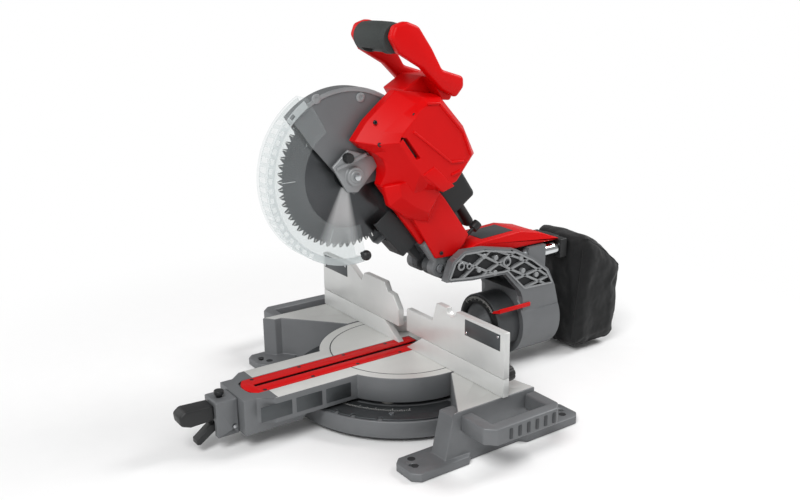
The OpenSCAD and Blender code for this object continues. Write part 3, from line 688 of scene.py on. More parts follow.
@dataclass
class Dresser:
    """Gives pieces their finish and body, and CAD nodes a better finish."""

    nodes: dict
    made: list = field(default_factory=list)

    def dress(self, piece: Piece, finish: Finish, body: str,
              stands_for: Iterable[str] = (), slot: Optional[str] = None) -> Piece:
        """Finishes a new piece.

        Args:
            piece: the mesh object.
            finish: its material.
            body: the CAD body that it rides on.
            stands_for: CAD nodes that it replaces.
            slot: not used.

        Returns:
            The same object.
        """
        if not piece.data.materials:
            piece.data.materials.append(finish.material())
        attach(piece, body)
        names = list(stands_for)
        if names:
            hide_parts(*names)
        self.made.append(piece.name)
        LOG.info("piece %s on %s", piece.name, body)
        return piece

    def paint(self, node: str, finish: Finish) -> None:
        """Gives a CAD node that stays in view a procedural material."""
        mesh = self.nodes[node].data
        mesh.materials.clear()
        mesh.materials.append(finish.material())

    def two_tone(self, piece: Piece, finish: Finish, top: Finish, height: float) -> None:
        """Gives level faces near a height a second, machined finish.

        Args:
            piece: the mesh object.
            finish: the material of the rest.
            top: the material of the level faces.
            height: their height in millimetres.
        """
        piece.data.materials.append(finish.material())
        piece.data.materials.append(top.material())
        for face in piece.data.polygons:
            level = face.normal.z > 0.98 and abs(face.center.z - height * MM) < 0.0012
            face.material_index = 1 if level else 0


@dataclass
class Studio:
    """Camera at the photograph's angle, pale floor and soft light."""

    centre: tuple[float, float, float] = (1.3074, -0.8988, 0.7359)
    azimuth: float = 53.5
    elevation: float = 15.8
    lens: float = 41.46
    shift: tuple[float, float] = (-0.039, -0.0096)

    def build(self) -> None:
        """Makes the camera, the floor, the lamps and the world."""
        bpy.context.scene.view_settings.view_transform = "Standard"
        self.camera()
        self.floor()
        self.lamps()

    def camera(self) -> None:
        """Makes the camera of the photograph."""
        data = bpy.data.cameras.new("photo_camera")
        data.sensor_width = 36.0
        data.lens = self.lens
        data.shift_x, data.shift_y = self.shift
        camera = Bench.link("photo_camera", data)
        a, e = math.radians(self.azimuth), math.radians(self.elevation)
        back = Vector((math.sin(a) * math.cos(e), -math.cos(a) * math.cos(e), math.sin(e)))
        camera.rotation_mode = "QUATERNION"
        camera.rotation_quaternion = (-back).to_track_quat("-Z", "Y")
        camera.location = self.centre
        bpy.context.scene.camera = camera

    def floor(self) -> None:
        """Makes a wide pale floor that shows white to the camera and keeps the shadow."""
        Bench.deselect()
        bpy.ops.mesh.primitive_plane_add(size=30.0, location=(0, 0, -0.0005))
        floor = bpy.context.object
        floor.name = "studio_floor"
        floor.data.materials.append(self.sweep())

    def sweep(self) -> bpy.types.Material:
        """Makes the floor's material: pale and matt near the saw, fading to a white sweep.

        Returns:
            The floor's material.
        """
        made = FLOOR_PALE.material()
        tree = made.node_tree
        shader = tree.nodes["Principled BSDF"]
        place = add_node(tree, "ShaderNodeTexCoord").outputs["Object"]
        reach = add_node(tree, "ShaderNodeVectorMath", {0: place}, operation="LENGTH").outputs["Value"]
        fade = add_node(tree, "ShaderNodeMapRange", {"Value": reach, "From Min": 0.45, "From Max": 1.1},
                        interpolation_type="SMOOTHSTEP").outputs[0]
        white = add_node(tree, "ShaderNodeEmission", {"Color": (1, 1, 1, 1), "Strength": 1.0})
        mix = add_node(tree, "ShaderNodeMixShader", {0: fade, 1: shader.outputs[0], 2: white.outputs[0]})
        tree.links.new(mix.outputs[0], tree.nodes["Material Output"].inputs["Surface"])
        return made

    def lamps(self) -> None:
        """Makes a soft key, a fill and a rim lamp, and a pale world."""
        target = Vector((0.0, 0.0, 0.3))
        for name, place, size, power in (
                ("key_lamp", (1.5, -2.0, 2.7), 1.5, 84.0),
                ("fill_lamp", (-2.4, -1.6, 1.7), 2.2, 20.0),
                ("rim_lamp", (0.6, 2.2, 2.2), 1.2, 52.0)):
            data = bpy.data.lights.new(name, "AREA")
            data.size = size
            data.energy = power
            lamp = Bench.link(name, data)
            lamp.location = place
            lamp.rotation_mode = "QUATERNION"
            lamp.rotation_quaternion = (target - Vector(place)).to_track_quat("-Z", "Y")
        world = bpy.data.worlds.new("studio_world")
        bpy.context.scene.world = world
        world.use_nodes = True
        tree = world.node_tree
        back = tree.nodes["Background"]
        back.inputs["Color"].default_value = (1, 1, 1, 1)
        path = add_node(tree, "ShaderNodeLightPath")
        strength = add_node(tree, "ShaderNodeMapRange", {
            "Value": path.outputs["Is Camera Ray"], "To Min": 0.34, "To Max": 1.0})
        tree.links.new(strength.outputs[0], back.inputs["Strength"])


@dataclass
class Assembly:
    """A sub-assembly of the saw, which makes its pieces and finishes them."""

    dresser: Dresser
    # The body that its own pieces ride on
    body: str = "base"
    # Nodes that a rounded copy stands in for, each with the values of rounded()
    skins: tuple = ()
    # Nodes that stay in view, with their finish
    paints: tuple = ()

    def build(self) -> None:
        """Finishes the listed nodes and makes the other pieces."""
        for row in self.skins:
            self.rounded(*row)
        for name, finish in self.paints:
            self.dresser.paint(name, finish)
        self.details()

    def details(self) -> None:
        """Makes the pieces that the lists don't hold."""
        raise NotImplementedError

    def node(self, name: str) -> Piece:
        """Gives a CAD node's object."""
        return self.dresser.nodes[name]

    def rounded(self, name: str, body: str, finish: Finish, width: float = 1.0, segments: int = 2,
                top: Optional[Finish] = None) -> None:
        """Stands a rounded copy in for a CAD node.

        Args:
            name: the CAD node.
            body: the CAD body that carries it.
            finish: its material.
            width: edge radius in millimetres.
            segments: steps across a rounded edge.
            top: finish of level faces at the table's height, if they are machined.
        """
        piece = Bench.from_node(self.node(name), name + "_skin", width, segments)
        if top:
            self.dresser.two_tone(piece, finish, top, TABLE_Z)
        self.stand_in(piece, finish, name, body)

    def stand_in(self, piece: Piece, finish: Finish, node: str, body: str = "") -> None:
        """Finishes a piece that replaces a CAD node, on this sub-assembly's body or another."""
        self.dresser.dress(piece, finish, body or self.body, (node,))

    def add(self, piece: Piece, finish: Finish, slot: str, body: str = "") -> None:
        """Finishes a piece that goes with a CAD node, on this sub-assembly's body or another."""
        self.dresser.dress(piece, finish, body or self.body, slot=slot)


def ring_points(radius: float, count: int) -> list[tuple[float, float]]:
    """Spreads points round a circle.

    Args:
        radius: in millimetres.
        count: how many points.

    Returns:
        Pairs of coordinates.
    """
    angles = [math.radians(360.0 * i / count) for i in range(count)]
    return [(radius * math.cos(angle), radius * math.sin(angle)) for angle in angles]


def tick_row(name: str, places: Iterable[tuple]) -> Piece:
    """Makes a row of raised marks, each a small block.

    Args:
        name: the piece's name.
        places: per mark its centre, the directions of two of its axes, and its half sizes in
            millimetres along them and along their cross product.

    Returns:
        The joined piece.
    """
    marks = []
    for centre, along, across, a, b, c in places:
        Bench.deselect()
        bpy.ops.mesh.primitive_cube_add(size=2.0)
        mark = bpy.context.object
        out = along.cross(across)
        turn = Matrix((along * a * MM, across * b * MM, out * c * MM)).transposed().to_4x4()
        mark.data.transform(Matrix.Translation(centre) @ turn)
        marks.append(mark)
    return Bench.settle(Bench.join(marks, name))


def screw(name: str, radius: float, origin: Vector, axis: Vector = RIGHT, hexed: bool = True) -> Piece:
    """Makes a socket head screw: a domed head with a hexagon recess.

    Args:
        name: the piece's name.
        radius: head radius in millimetres.
        origin: middle of the head's seat.
        axis: the way the head stands up.
        hexed: whether the recess is cut.

    Returns:
        The mesh object.
    """
    high = radius * 0.7
    head = Bench.lathe(name, [(radius, -0.2), (radius, high * 0.75), (radius * 0.86, high)], origin, 24, axis)
    if not hexed:
        return head
    along = axis.normalized()
    side = along.orthogonal().normalized()
    third = along.cross(side)
    rings = [[origin + (side * a + third * b) * MM + along * depth * MM
              for a, b in ring_points(radius * 0.5, 6)] for depth in (high * 0.35, high + 1.0)]
    return Bench.cut(head, Bench.loft(name + "_key", rings))


def strip(start: Point, end: Point, width: float) -> list:
    """Gives the outline of a straight bar between two points.

    Args:
        start: one end of its middle line.
        end: the other end.
        width: in millimetres.

    Returns:
        Its four corners.
    """
    along = Vector((end[0] - start[0], end[1] - start[1])).normalized()
    side = Vector((-along[1], along[0])) * width / 2
    return [tuple(Vector(spot) + side * way) for spot, way in ((start, 1), (start, -1), (end, -1), (end, 1))]


def box(a0: float, a1: float, b0: float, b1: float) -> list:
    """Gives the outline of an upright rectangle."""
    return [(a0, b0), (a1, b0), (a1, b1), (a0, b1)]


def arc_band(inner: float, outer: float, start: float, end: float, steps: int = 36) -> list:
    """Gives the outline of a band between two arcs round the arbor.

    Args:
        inner: inner radius.
        outer: outer radius.
        start: first angle in degrees.
        end: last angle.
        steps: steps of each arc.

    Returns:
        Points of the closed outline.
    """
    angles = [math.radians(start + (end - start) * i / steps) for i in range(steps + 1)]
    return [(ARBOR[0] + radius * math.cos(a), ARBOR[1] + radius * math.sin(a))
            for radius, row in ((outer, angles), (inner, angles[::-1])) for a in row]


@dataclass
class Base(Assembly):
    """Cast base with its wings, feet, carry handles and miter scale."""

    skins: tuple = (
        ("base_casting", "base", CAST_GREY, 1.6, 2, MILLED_TOP),
        ("carry_handles", "base", CAST_GREY, 3.0, 3), ("miter_scale", "base", PLATE_GREY, 0.5))
    paints: tuple = (
        ("scale_screws", BRIGHT_STEEL), ("table_pivot_bolt", DARK_STEEL), ("wear_pads", PAD_WHITE),
        ("fence_bolts", DARK_STEEL))
    # Outer ends of the degree marks, and the plate's top
    tick_r: float = 172.0
    tick_z: float = 41.0
    # Dark discs of painted shade in the feet's recesses: place and corners, six for a hexagon
    recesses: tuple = (
        (243, -150, 28), (264, -158, 6), (-243, -150, 28), (-264, -158, 6), (272, 150, 28),
        (-272, 150, 28))
    # Finger ribs: side of the saw, first and last place along the bar
    grips: tuple = (("right", 353.0, -40.0, 50.0), ("left", -353.0, -90.0, 34.0))
    rib_count: int = 6

    def details(self) -> None:
        """Makes the degree marks, the grips' ribs and the dark discs of painted shade in the feet's recesses.
        """
        self.ticks()
        self.grip_ribs()
        for index, (x, y, count) in enumerate(self.recesses):
            floor = Bench.prism(f"foot_recess_shade_{index}", Plane.TOP,
                                [(x + a, y + b) for a, b in ring_points(6.5, count)], 13.7, 14.12)
            self.add(floor, CAST_SHADE, "base_casting")

    def ticks(self) -> None:
        """Lays pale degree marks on the scale plate, long ones every five and ten degrees."""
        marks = []
        for degree in range(-60, 61):
            angle = math.radians(degree)
            out = Vector((math.sin(angle), -math.cos(angle), 0))
            half = 4.6 if degree % 10 == 0 else 3.4 if degree % 5 == 0 else 2.0
            centre = out * (self.tick_r - half) * MM + UP * self.tick_z * MM
            marks.append((centre, out, UP.cross(out), half, 0.28, 0.12))
        self.add(tick_row("miter_ticks", marks), MARK_WHITE, "miter_scale")

    def grip_ribs(self) -> None:
        """Lays finger ribs on the outer bars of both carry handles."""
        for side, x, low, high in self.grips:
            gap = (high - low) / (self.rib_count - 1)
            ribs = [(row_point(x, low + gap * index, 70.0), Vector((0, 1, 0)), UP, 3.2, 9.0, 1.4)
                    for index in range(self.rib_count)]
            self.add(Bench.round(tick_row(f"{side}_grip_ribs", ribs), 1.0), CAST_DARK, "carry_handles")


@dataclass
class Table(Assembly):
    """Turntable, kerf plate and the front block with its handle and lever."""

    body: str = "turntable"
    skins: tuple = (
        ("turntable", "turntable", CAST_GREY, 1.2, 2, TURNED_TABLE),
        ("kerf_plate", "turntable", RED_INSERT, 0.6), ("front_block", "turntable", CAST_GREY, 2.5, 3),
        ("front_handle", "turntable", BLACK_PLASTIC, 4.0, 4),
        ("detent_lever", "detent_lever", BLACK_PLASTIC, 1.6, 3),
        ("detent_button", "detent_button", BLACK_PLASTIC, 1.2, 3))
    paints: tuple = (("kerf_screws", DARK_STEEL), ("lever_pin", BRIGHT_STEEL), ("detent_pin", BRIGHT_STEEL))
    groove_r: float = 131.0
    # Half of the unmachined nose round the kerf plate's front end
    nose: Outline = (
        (0, -337.4), (45, -337.4), (45, -316), (63, -296), (63, -286), (31, -286), (31, -305), (22, -316),
        (8, -319), (0, -319))
    # Bare plates on the arm's right flank: ends along it and distance out
    badges: tuple = ((-318.0, -262.0, -0.3), (-254.0, -206.0, 0.0), (-198.0, -150.0, 0.0))

    def details(self) -> None:
        """Makes the ring groove, the bare plates on the arm and the cast nose."""
        self.ring_groove()
        for index, (y0, y1, shift) in enumerate(self.badges):
            plate = Bench.prism(f"arm_plate_{index}", Plane.SIDE, box(y0, y1, 54, 80),
                                64.6 + shift, 65.5 + shift, 0.4)
            self.add(plate, PLATE_GREY, "turntable")
        for side, name in ((1, "right"), (-1, "left")):
            plate = Bench.prism(f"nose_{name}", Plane.TOP, [(side * x, y) for x, y in self.nose], 89.8, 90.25)
            self.add(plate, CAST_GREY, "turntable")

    def ring_groove(self) -> None:
        """Lays the dark ring groove of the table's rim."""
        radius = self.groove_r
        profile = [(radius - 1.1, 90.0), (radius + 1.1, 90.0), (radius + 0.9, 90.12), (radius - 0.9, 90.12)]
        groove = Bench.turned("table_groove", profile, Vector((0, 0, 0)), UP, 120, True)
        # The groove stops at the fence bridge and at the kerf plate
        Bench.cut(groove, Bench.prism("groove_cut", Plane.TOP, box(-31, 31, -160, 160), 80, 100))
        self.add(groove, CAST_DARK, "turntable")


@dataclass
class Fences(Assembly):
    """Fixed fence, the two sliding fences and their clamp knobs."""

    skins: tuple = (
        ("fixed_fence", "base", MILLED_FENCE, 0.8), ("left_fence", "left_fence", MILLED_FENCE),
        ("right_fence", "right_fence", MILLED_FENCE),
        ("left_fence_knob", "left_fence_knob", BLACK_PLASTIC),
        ("right_fence_knob", "right_fence_knob", BLACK_PLASTIC))
    # Bare plates on the fences' faces: ends across and up
    plates: tuple = (
        ("left_fence", -278.0, -190.0, 172.0, 198.0), ("right_fence", 184.0, 274.0, 168.0, 196.0))

    def details(self) -> None:
        """Lays bare dark plates on the fences' faces, and their two pale rivets."""
        for fence, x0, x1, z0, z1 in self.plates:
            plate = Bench.prism(f"{fence}_plate", Plane.FRONT, box(x0, x1, z0, z1), 2.0, 2.7, 0.4)
            self.add(plate, PLATE_GREY, fence, fence)
            rivets = [screw("rivet", 2.2, row_point(x, 2.1, z), Vector((0, -1, 0)), False)
                      for x, z in ((x0 + 5, z0 + 5), (x1 - 5, z1 - 5))]
            self.add(Bench.join(rivets, fence.replace("fence", "rivets")), BRIGHT_STEEL, fence, fence)


@dataclass
class Bevel(Assembly):
    """Bevel trunnion with its scale, and the lattice arm that carries the rails."""

    body: str = "bevel_arm"
    skins: tuple = (
        ("bevel_trunnion", "turntable", CAST_DARK, 1.2), ("bevel_scale", "turntable", PLATE_BLACK, 0.3),
        ("bevel_pointer", "bevel_arm", RED_GLOSS, 0.6),
        ("bevel_lock_knob", "bevel_lock_knob", BLACK_PLASTIC))
    paints: tuple = (("bevel_shaft", DARK_STEEL), ("linear_bushings", CAST_LIGHT))
    # The right cheek's ring bosses, with their radius, and the lattice: knots, pocket and ribs
    ring_bosses: tuple = ((90.0, 241.0, 8.0), (108.0, 238.0, 6.0), (199.0, 230.0, 10.0))
    knots: Outline = ((133, 226), (173, 242), (242, 204), (236, 230), (172, 213), (277, 190), (144, 250))
    recess: Outline = (
        (64, 220), (77, 248), (99, 262), (146, 260.5), (221, 244.5), (265, 221), (303, 193), (319, 166),
        (246, 168), (202, 211), (118, 214))
    ribs: tuple = (
        ((90, 214), (162, 259)), ((136, 211), (222, 246)), ((200, 210), (258, 226)),
        ((222, 190), (296, 202)), ((240, 166), (314, 182)), ((78, 256), (172, 210)),
        ((122, 263), (208, 214)), ((208, 214), (302, 166)), ((168, 258), (236, 229)),
        ((236, 229), (316, 176)))

    def details(self) -> None:
        """Makes the arm, the scale's marks and the ring bosses."""
        self.arm()
        self.marks()
        self.bosses()

    def arm(self) -> None:
        """Stands in for the arm casting: its right cheek gets a deep lattice with ribs and knots, a pocket
        floor darkened with painted shade and ribs paler with painted light.
        """
        skin = Bench.from_node(self.node("arm_casting"), "arm_casting_skin")
        Bench.cut(skin, Bench.prism("lattice_pocket", Plane.SIDE, self.recess, 54.0, 70.0))
        self.stand_in(skin, CAST_GREY, "arm_casting")
        # The pocket's floor: a near-black sheet of painted shade
        floor = Bench.prism("lattice_shade_floor", Plane.SIDE, self.recess, 52.0, 54.6)
        self.add(floor, CAST_SHADE, "arm_casting")
        # Ribs, knots and the pocket's edge in the paler grey: painted light on the raised faces of the same
        # casting
        bars = [Bench.prism("rib", Plane.SIDE, strip(a, b, 4.6), 53.0, 61.6, 0.8) for a, b in self.ribs]
        discs = [Bench.lathe("knot", [(5.2, 53), (5.2, 62), (4.2, 62.8)], row_point(0, y, z), 24)
                 for y, z in self.knots]
        edge = [Bench.prism("edge", Plane.SIDE, strip(a, b, 3.4), 60.0, 63.4, 0.8)
                for a, b in zip(self.recess, self.recess[1:] + self.recess[:1])]
        self.add(Bench.join(bars + discs + edge, "cheek_lattice"), CAST_LIGHT, "arm_casting")

    def marks(self) -> None:
        """Lays pale degree marks round the bevel scale."""
        front = Vector((0, -1, 0))
        places = []
        for degree in range(-48, 49, 3):
            angle = math.radians(degree)
            out = Vector((math.sin(angle), 0, math.cos(angle)))
            half = 3.6 if degree % 15 == 0 else 2.2
            centre = row_point(0, 184.45, TABLE_Z) + out * (55.0 - half) * MM
            places.append((centre, out, front.cross(out), half, 0.35, 0.15))
        self.add(tick_row("bevel_ticks", places), MARK_WHITE, "bevel_scale", "turntable")

    def bosses(self) -> None:
        """Lays turned ring bosses on the arm's right cheek, each with a recessed screw."""
        for index, (y, z, radius) in enumerate(self.ring_bosses):
            seat = row_point(61.5, y, z)
            profile = [(radius * 0.55, 0), (radius, 0), (radius, 1.9), (radius - 0.8, 2.6),
                       (radius * 0.62, 2.6), (radius * 0.55, 2.0)]
            ring = Bench.turned(f"cheek_boss_{index}", profile, seat, RIGHT, 32, True)
            self.add(ring, CAST_LIGHT, "arm_casting")
            bolt = screw(f"cheek_bolt_{index}", radius * 0.5, seat + RIGHT * 0.2 * MM)
            self.add(bolt, DARK_STEEL, "arm_casting")


@dataclass
class Slide(Assembly):
    """Rails, hinge bracket, red cover, end plate, dust tube and depth stop."""

    body: str = "carriage"
    skins: tuple = (
        ("hinge_bracket", "carriage", CAST_DARK, 1.2), ("rail_cover", "carriage", RED_GLOSS, 2.5, 3),
        ("end_plate", "carriage", BLACK_PLASTIC, 1.2), ("depth_stop", "depth_stop", BLACK_PLASTIC, 0.6))
    paints: tuple = (
        ("slide_rails", RAIL_STEEL), ("return_spring", DARK_STEEL), ("dust_tube", BLACK_PLASTIC))
    recess: Outline = ((166, 271.4), (244, 275.5), (244, 276.8), (166, 272.7))

    def details(self) -> None:
        """Lays the bare grey recess on the rail cover's long top slope."""
        plate = Bench.prism("cover_recess", Plane.SIDE, self.recess, -27.0, 27.0, 0.5)
        self.add(plate, PLATE_GREY, "rail_cover")


@dataclass
class Housing(Assembly):
    """Red faceted motor housing, arm covers, belt case and the black battery behind."""

    body: str = "head"
    skins: tuple = (
        ("arm_covers", "head", RED_GLOSS, 2.6, 3), ("belt_case", "head", CAST_GREY),
        ("belt_cover", "head", RED_GLOSS, 2.5, 3), ("head_casting", "head", CAST_GREY, 1.2),
        ("battery", "head", BLACK_PLASTIC, 9.0, 5), ("dust_chute", "head", CHUTE_RUBBER, 1.5),
        ("guard_bracket", "head", CAST_LIGHT, 1.6, 3))
    paints: tuple = (
        ("drive_belt", BLACK_PLASTIC), ("motor_stator", COPPER), ("motor_rotor", DARK_STEEL),
        ("shaft_bearings", BRIGHT_STEEL), ("pivot_pin", BRIGHT_STEEL))
    # The shell's rings, from its seat on the guard to the bare panel
    foot: Outline = (
        (-302, 0), (-313, 38), (-316, 81), (-318, 112), (-290, 142), (-262, 172), (-190, 182), (-128, 172),
        (-112, 120), (-124, 78), (-150, 44), (-158, -4), (-222, -6), (-270, 8))
    ridge: Outline = (
        (-281, 20), (-290, 44), (-289, 90), (-287, 118), (-284, 137), (-264, 165), (-192, 175),
        (-136, 167), (-122, 112), (-130, 76), (-156, 48), (-166, 28), (-222, 28), (-262, 27))
    face: Outline = (
        (-265, 48), (-273, 64), (-277, 90), (-282, 112), (-279, 128), (-264, 150), (-192, 161),
        (-148, 152), (-133, 100), (-142, 68), (-170, 54), (-196, 50), (-225, 48), (-250, 48))
    wedge_low: Outline = ((-206, -4), (-192, 58), (-122, 80), (-92, 28), (-132, -2), (-172, -16))
    wedge_high: Outline = ((-198, 16), (-182, 51), (-128, 70), (-116, 32), (-146, 16), (-178, 6))
    step: Outline = ((-190, 52), (-186, 79), (-129, 92), (-137, 67))
    vent: Outline = ((-268, 57), (-262, 64), (-216, 66), (-219, 58))
    vent_floor: Outline = ((-267, 57), (-262, 63), (-217, 65), (-220, 58))
    # Middle lines of the panel's border ridges
    ridges: tuple = (
        ((-282, 128), (-266, 149)), ((-262, 80), (-168, 110)), ((-168, 110), (-152, 132)),
        ((-149, 98), (-142, 118)), ((-264, 148), (-194, 159)), ((-194, 159), (-150, 150)))
    # Recessed case screws: u, w and X
    screws: Outline = (
        (-308, 44, 50), (-280, 100, 73), (-279, 24, 62), (-131, 84, 72), (-136, 4, 44), (-24, 17, 44))
    knob: Point = (-284, -22)

    def details(self) -> None:
        """Makes the shell, its trim and the bracket's fittings."""
        self.shell()
        self.trim()
        self.bracket_trim()

    @staticmethod
    def tiers(name: str, levels: Sequence[tuple[float, Outline]]) -> Piece:
        """Lofts outlines of the head frame, each at its own X."""
        return Bench.loft(name, [[head_point(depth, u, w) for u, w in outline] for depth, outline in levels])

    def shell(self) -> None:
        """Lofts the housing from its seat on the guard out to the bare panel."""
        shell = self.tiers("housing_shell", ((20.6, self.foot), (38.0, self.foot), (62.0, self.ridge),
                                             (80.0, self.face)))
        Bench.cut(shell, Bench.lathe("arbor_room", [(47, -50), (47, 100)], head_point(0, *ARBOR), 48))
        Bench.cut(shell, Bench.prism("vent_slot", Plane.HEAD, self.vent, 66, 90))
        self.stand_in(Bench.round(shell, 2.4, 3, 14.0), RED_GLOSS, "motor_housing")

    def trim(self) -> None:
        """Lays the panel's border ridges, the step, the vent's floor, the wedge and the screws."""
        pieces = [Bench.prism("ridge", Plane.HEAD, strip(a, b, 4.4), 78.6, 82.4, 1.3, 3)
                  for a, b in self.ridges]
        pieces.append(Bench.prism("step", Plane.HEAD, self.step, 62.0, 82.0, 2.0, 3))
        self.add(Bench.join(pieces, "panel_ridges"), RED_GLOSS, "motor_housing")
        dark = Bench.prism("vent_floor", Plane.HEAD, self.vent_floor, 64, 70)
        self.add(dark, BLACK_PLASTIC, "motor_housing")
        low, high = self.wedge_low, self.wedge_high
        wedge = self.tiers("housing_wedge", ((34, low), (46, low), (62, high)))
        self.add(Bench.round(wedge, 1.8, 3, 14.0), RED_GLOSS, "motor_housing")
        wells = [screw("case_screw", 3.6, head_point(x, u, w)) for u, w, x in self.screws]
        self.add(Bench.join(wells, "case_screws"), DARK_STEEL, "motor_housing")

    def bracket_trim(self) -> None:
        """Makes the bracket's washer, hexagon bolt, raised rib and knurled knob."""
        washer = Bench.lathe("bracket_washer", [(11, 33.5), (11, 35.2), (10, 36)], head_point(0, *ARBOR), 36)
        hexagon = [(ARBOR[0] + a, ARBOR[1] + b) for a, b in ring_points(6.5, 6)]
        nut = Bench.prism("bracket_nut", Plane.HEAD, hexagon, 35.5, 40.5, 0.7)
        rib = Bench.prism("bracket_rib", Plane.HEAD, [(-284, -48), (-280, -50), (-262, 8), (-268, 10)],
                          25.5, 31.0, 1.2, 3)
        u, w = self.knob
        knob = Bench.lathe("bracket_knob", [(8, 25.5), (8.4, 27), (8.4, 36), (7.4, 38)],
                           head_point(0, u, w), 36)
        flutes = [Bench.lathe("flute", [(0.9, 27.5), (0.9, 40)], head_point(0, u + a, w + b), 10)
                  for a, b in ring_points(9.0, 14)]
        Bench.cut(knob, Bench.join(flutes, "knob_flutes"))
        for piece, finish in ((washer, CAST_LIGHT), (nut, BRIGHT_STEEL), (rib, CAST_LIGHT),
                              (knob, BLACK_PLASTIC)):
            self.add(piece, finish, "guard_bracket")


@dataclass
class Handle(Assembly):
    """D handle with its soft grip, trigger and lock button."""

    body: str = "head"
    skins: tuple = (
        ("trigger", "trigger", BLACK_PLASTIC, 1.2, 3), ("lock_button", "lock_button", BLACK_PLASTIC, 0.8))
    leg: Outline = (
        (-403, 142), (-414, 159), (-407, 181), (-386, 196), (-340, 197), (-299, 194), (-262, 223),
        (-247, 213), (-242, 190), (-272, 174), (-326, 163), (-374, 140))
    yoke: Outline = ((-296, 176), (-268, 216), (-250, 212), (-238, 186), (-250, 172))
    seat: Outline = ((-300, 132), (-296, 178), (-244, 178), (-212, 170), (-204, 132))
    # Half of the grip's profile, from its middle to its end, and the trigger's pocket in it
    belly: Outline = ((26.0, 31), (25.2, 34), (24.6, 44.0), (23.0, 46.4))
    pocket: Point = (-387.0, -355.0, 118.0, 165.0)

    def details(self) -> None:
        """Makes the handle's frame and its soft grip."""
        self.frame()
        self.sleeve()

    def frame(self) -> None:
        """Makes the handle's two rounded legs, the yoke between them and its seat on the housing."""
        right = Bench.prism("leg_right", Plane.HEAD, self.leg, 46.5, 66.0, 6.0, 4)
        Bench.cut(right, Bench.lathe("button_hole", [(5.2, 41), (5.2, 52.5)], head_point(0, -320, 182), 28))
        pieces = [right, Bench.prism("leg_left", Plane.HEAD, self.leg, -66.0, -46.5, 6.0, 4),
                  Bench.prism("yoke", Plane.HEAD, self.yoke, -48.0, 48.0, 3.0, 3),
                  Bench.prism("seat", Plane.HEAD, self.seat, -42.0, 20.2, 2.5, 3)]
        self.stand_in(Bench.join(pieces, "handle_frame"), RED_GLOSS, "handle")

    def sleeve(self) -> None:
        """Turns the soft grip with a slight belly and cuts the trigger's pocket."""
        profile = [*((radius, -depth) for radius, depth in reversed(self.belly)), (26.4, 0), *self.belly]
        sleeve = Bench.lathe("grip_sleeve", profile, head_point(0, -390, 157), 64)
        Bench.cut(sleeve, Bench.prism("trigger_pocket", Plane.HEAD, box(*self.pocket), -27, 27))
        self.stand_in(sleeve, GRIP_RUBBER, "handle_grip")


@dataclass
class Cutting(Assembly):
    """Blade with its tips, the fixed upper guard and the clear swinging guard."""

    body: str = "head"
    skins: tuple = (
        ("arbor_bolt", "blade", BRIGHT_STEEL, 0.5), ("guard_knob", "lower_guard", BLACK_PLASTIC))
    paints: tuple = (("blade_flanges", DARK_STEEL), ("arbor_shaft", BRIGHT_STEEL))
    teeth: int = 60
    tip_r: float = 123.6
    open_plate: Outline = (
        (-392, -63), (-218, -44), (-217, -16), (-207, 4), (-190, 12), (-118, 12), (-60, -30), (-60, -75),
        (-392, -75))
    rim_bosses: Outline = ((-391, -4), (-341, 62))
    boss: Outline = ((8, 13.2), (8, 15.4), (7.2, 16.0), (3.6, 16.0), (3.4, 14.6))

    def details(self) -> None:
        """Makes the blade with its tips and rings, the fixed guard and the clear guard."""
        self.stand_in(Bench.from_node(self.node("blade"), "blade_skin"), BLADE_STEEL, "blade", "blade")
        turns = [(index + 0.1) * 360 / self.teeth for index in range(self.teeth)]
        tips = self.blocks("carbide_tips", turns, 0, self.tip_r, (3.4, 1.5, 0.9))
        self.add(tips, CARBIDE, "blade", "blade")
        for side, name in ((-1, "left"), (1, "right")):
            profile = [(91.7, side * 1.0), (92.3, side * 1.0), (92.0, side * 1.25)]
            ring = Bench.turned(f"blade_ring_{name}", profile, head_point(0, *ARBOR), RIGHT, 96, True)
            self.add(ring, BRIGHT_STEEL, "blade", "blade")
        self.fixed_guard()
        self.clear_guard()

    def fixed_guard(self) -> None:
        """Cuts the upper guard's right plate back to its slanting edge and adds the raised rim."""
        shell = Bench.from_node(self.node("upper_guard"), "upper_guard_skin")
        Bench.cut(shell, Bench.prism("plate_cut", Plane.HEAD, self.open_plate, 3.0, 16.0))
        self.stand_in(shell, CAST_GREY, "upper_guard")
        rim = Bench.prism("guard_rim", Plane.HEAD, arc_band(138.5, 145.8, 20, 188), 13.2, 15.9, 0.8, 3)
        bosses = [Bench.lathe("rim_boss", self.boss, head_point(0, u, w), 28) for u, w in self.rim_bosses]
        self.add(Bench.join([rim] + bosses, "guard_flange"), CAST_LIGHT, "upper_guard")

    def clear_guard(self) -> None:
        """Cuts the rim slots in a copy of the swinging guard, and lays the frosted band on its wall."""
        guard = Bench.from_node(self.node("lower_guard"), "clear_guard", 0.5)
        Bench.cut(guard, self.blocks("rim_slots", range(196, 292, 6), 0, 154, (4.0, 12.0, 4.6)))
        self.stand_in(guard, CLEAR_GUARD, "lower_guard", "lower_guard")
        band = Bench.prism("guard_band", Plane.HEAD, arc_band(144, 154.6, 178, 333), 18.4, 19.2)
        Bench.cut(band, self.blocks("band_windows", range(190, 296, 6), 18.8, 149.4, (3.4, 4.0, 4.4)))
        edge = Bench.prism("guard_edge", Plane.HEAD, arc_band(142.2, 144, 178, 333), 18.4, 19.6)
        self.add(Bench.join([band, edge], "guard_rim_band"), FROSTED, "lower_guard", "lower_guard")

    @staticmethod
    def blocks(name: str, turns: Iterable[float], x: float, radius: float, half: Point) -> Piece:
        """Sets small blocks round the arbor.

        Args:
            name: the joined piece's name.
            turns: their angles in degrees.
            x: their place across, in millimetres.
            radius: their distance from the arbor.
            half: half sizes outwards, across and along the rim.

        Returns:
            The joined piece.
        """
        places = []
        for turn in turns:
            angle = math.radians(turn)
            out = (head_point(0, math.cos(angle), math.sin(angle)) - head_point(0, 0, 0)).normalized()
            places.append((head_point(x, *ARBOR) + out * radius * MM, out, RIGHT, *half))
        return tick_row(name, places)


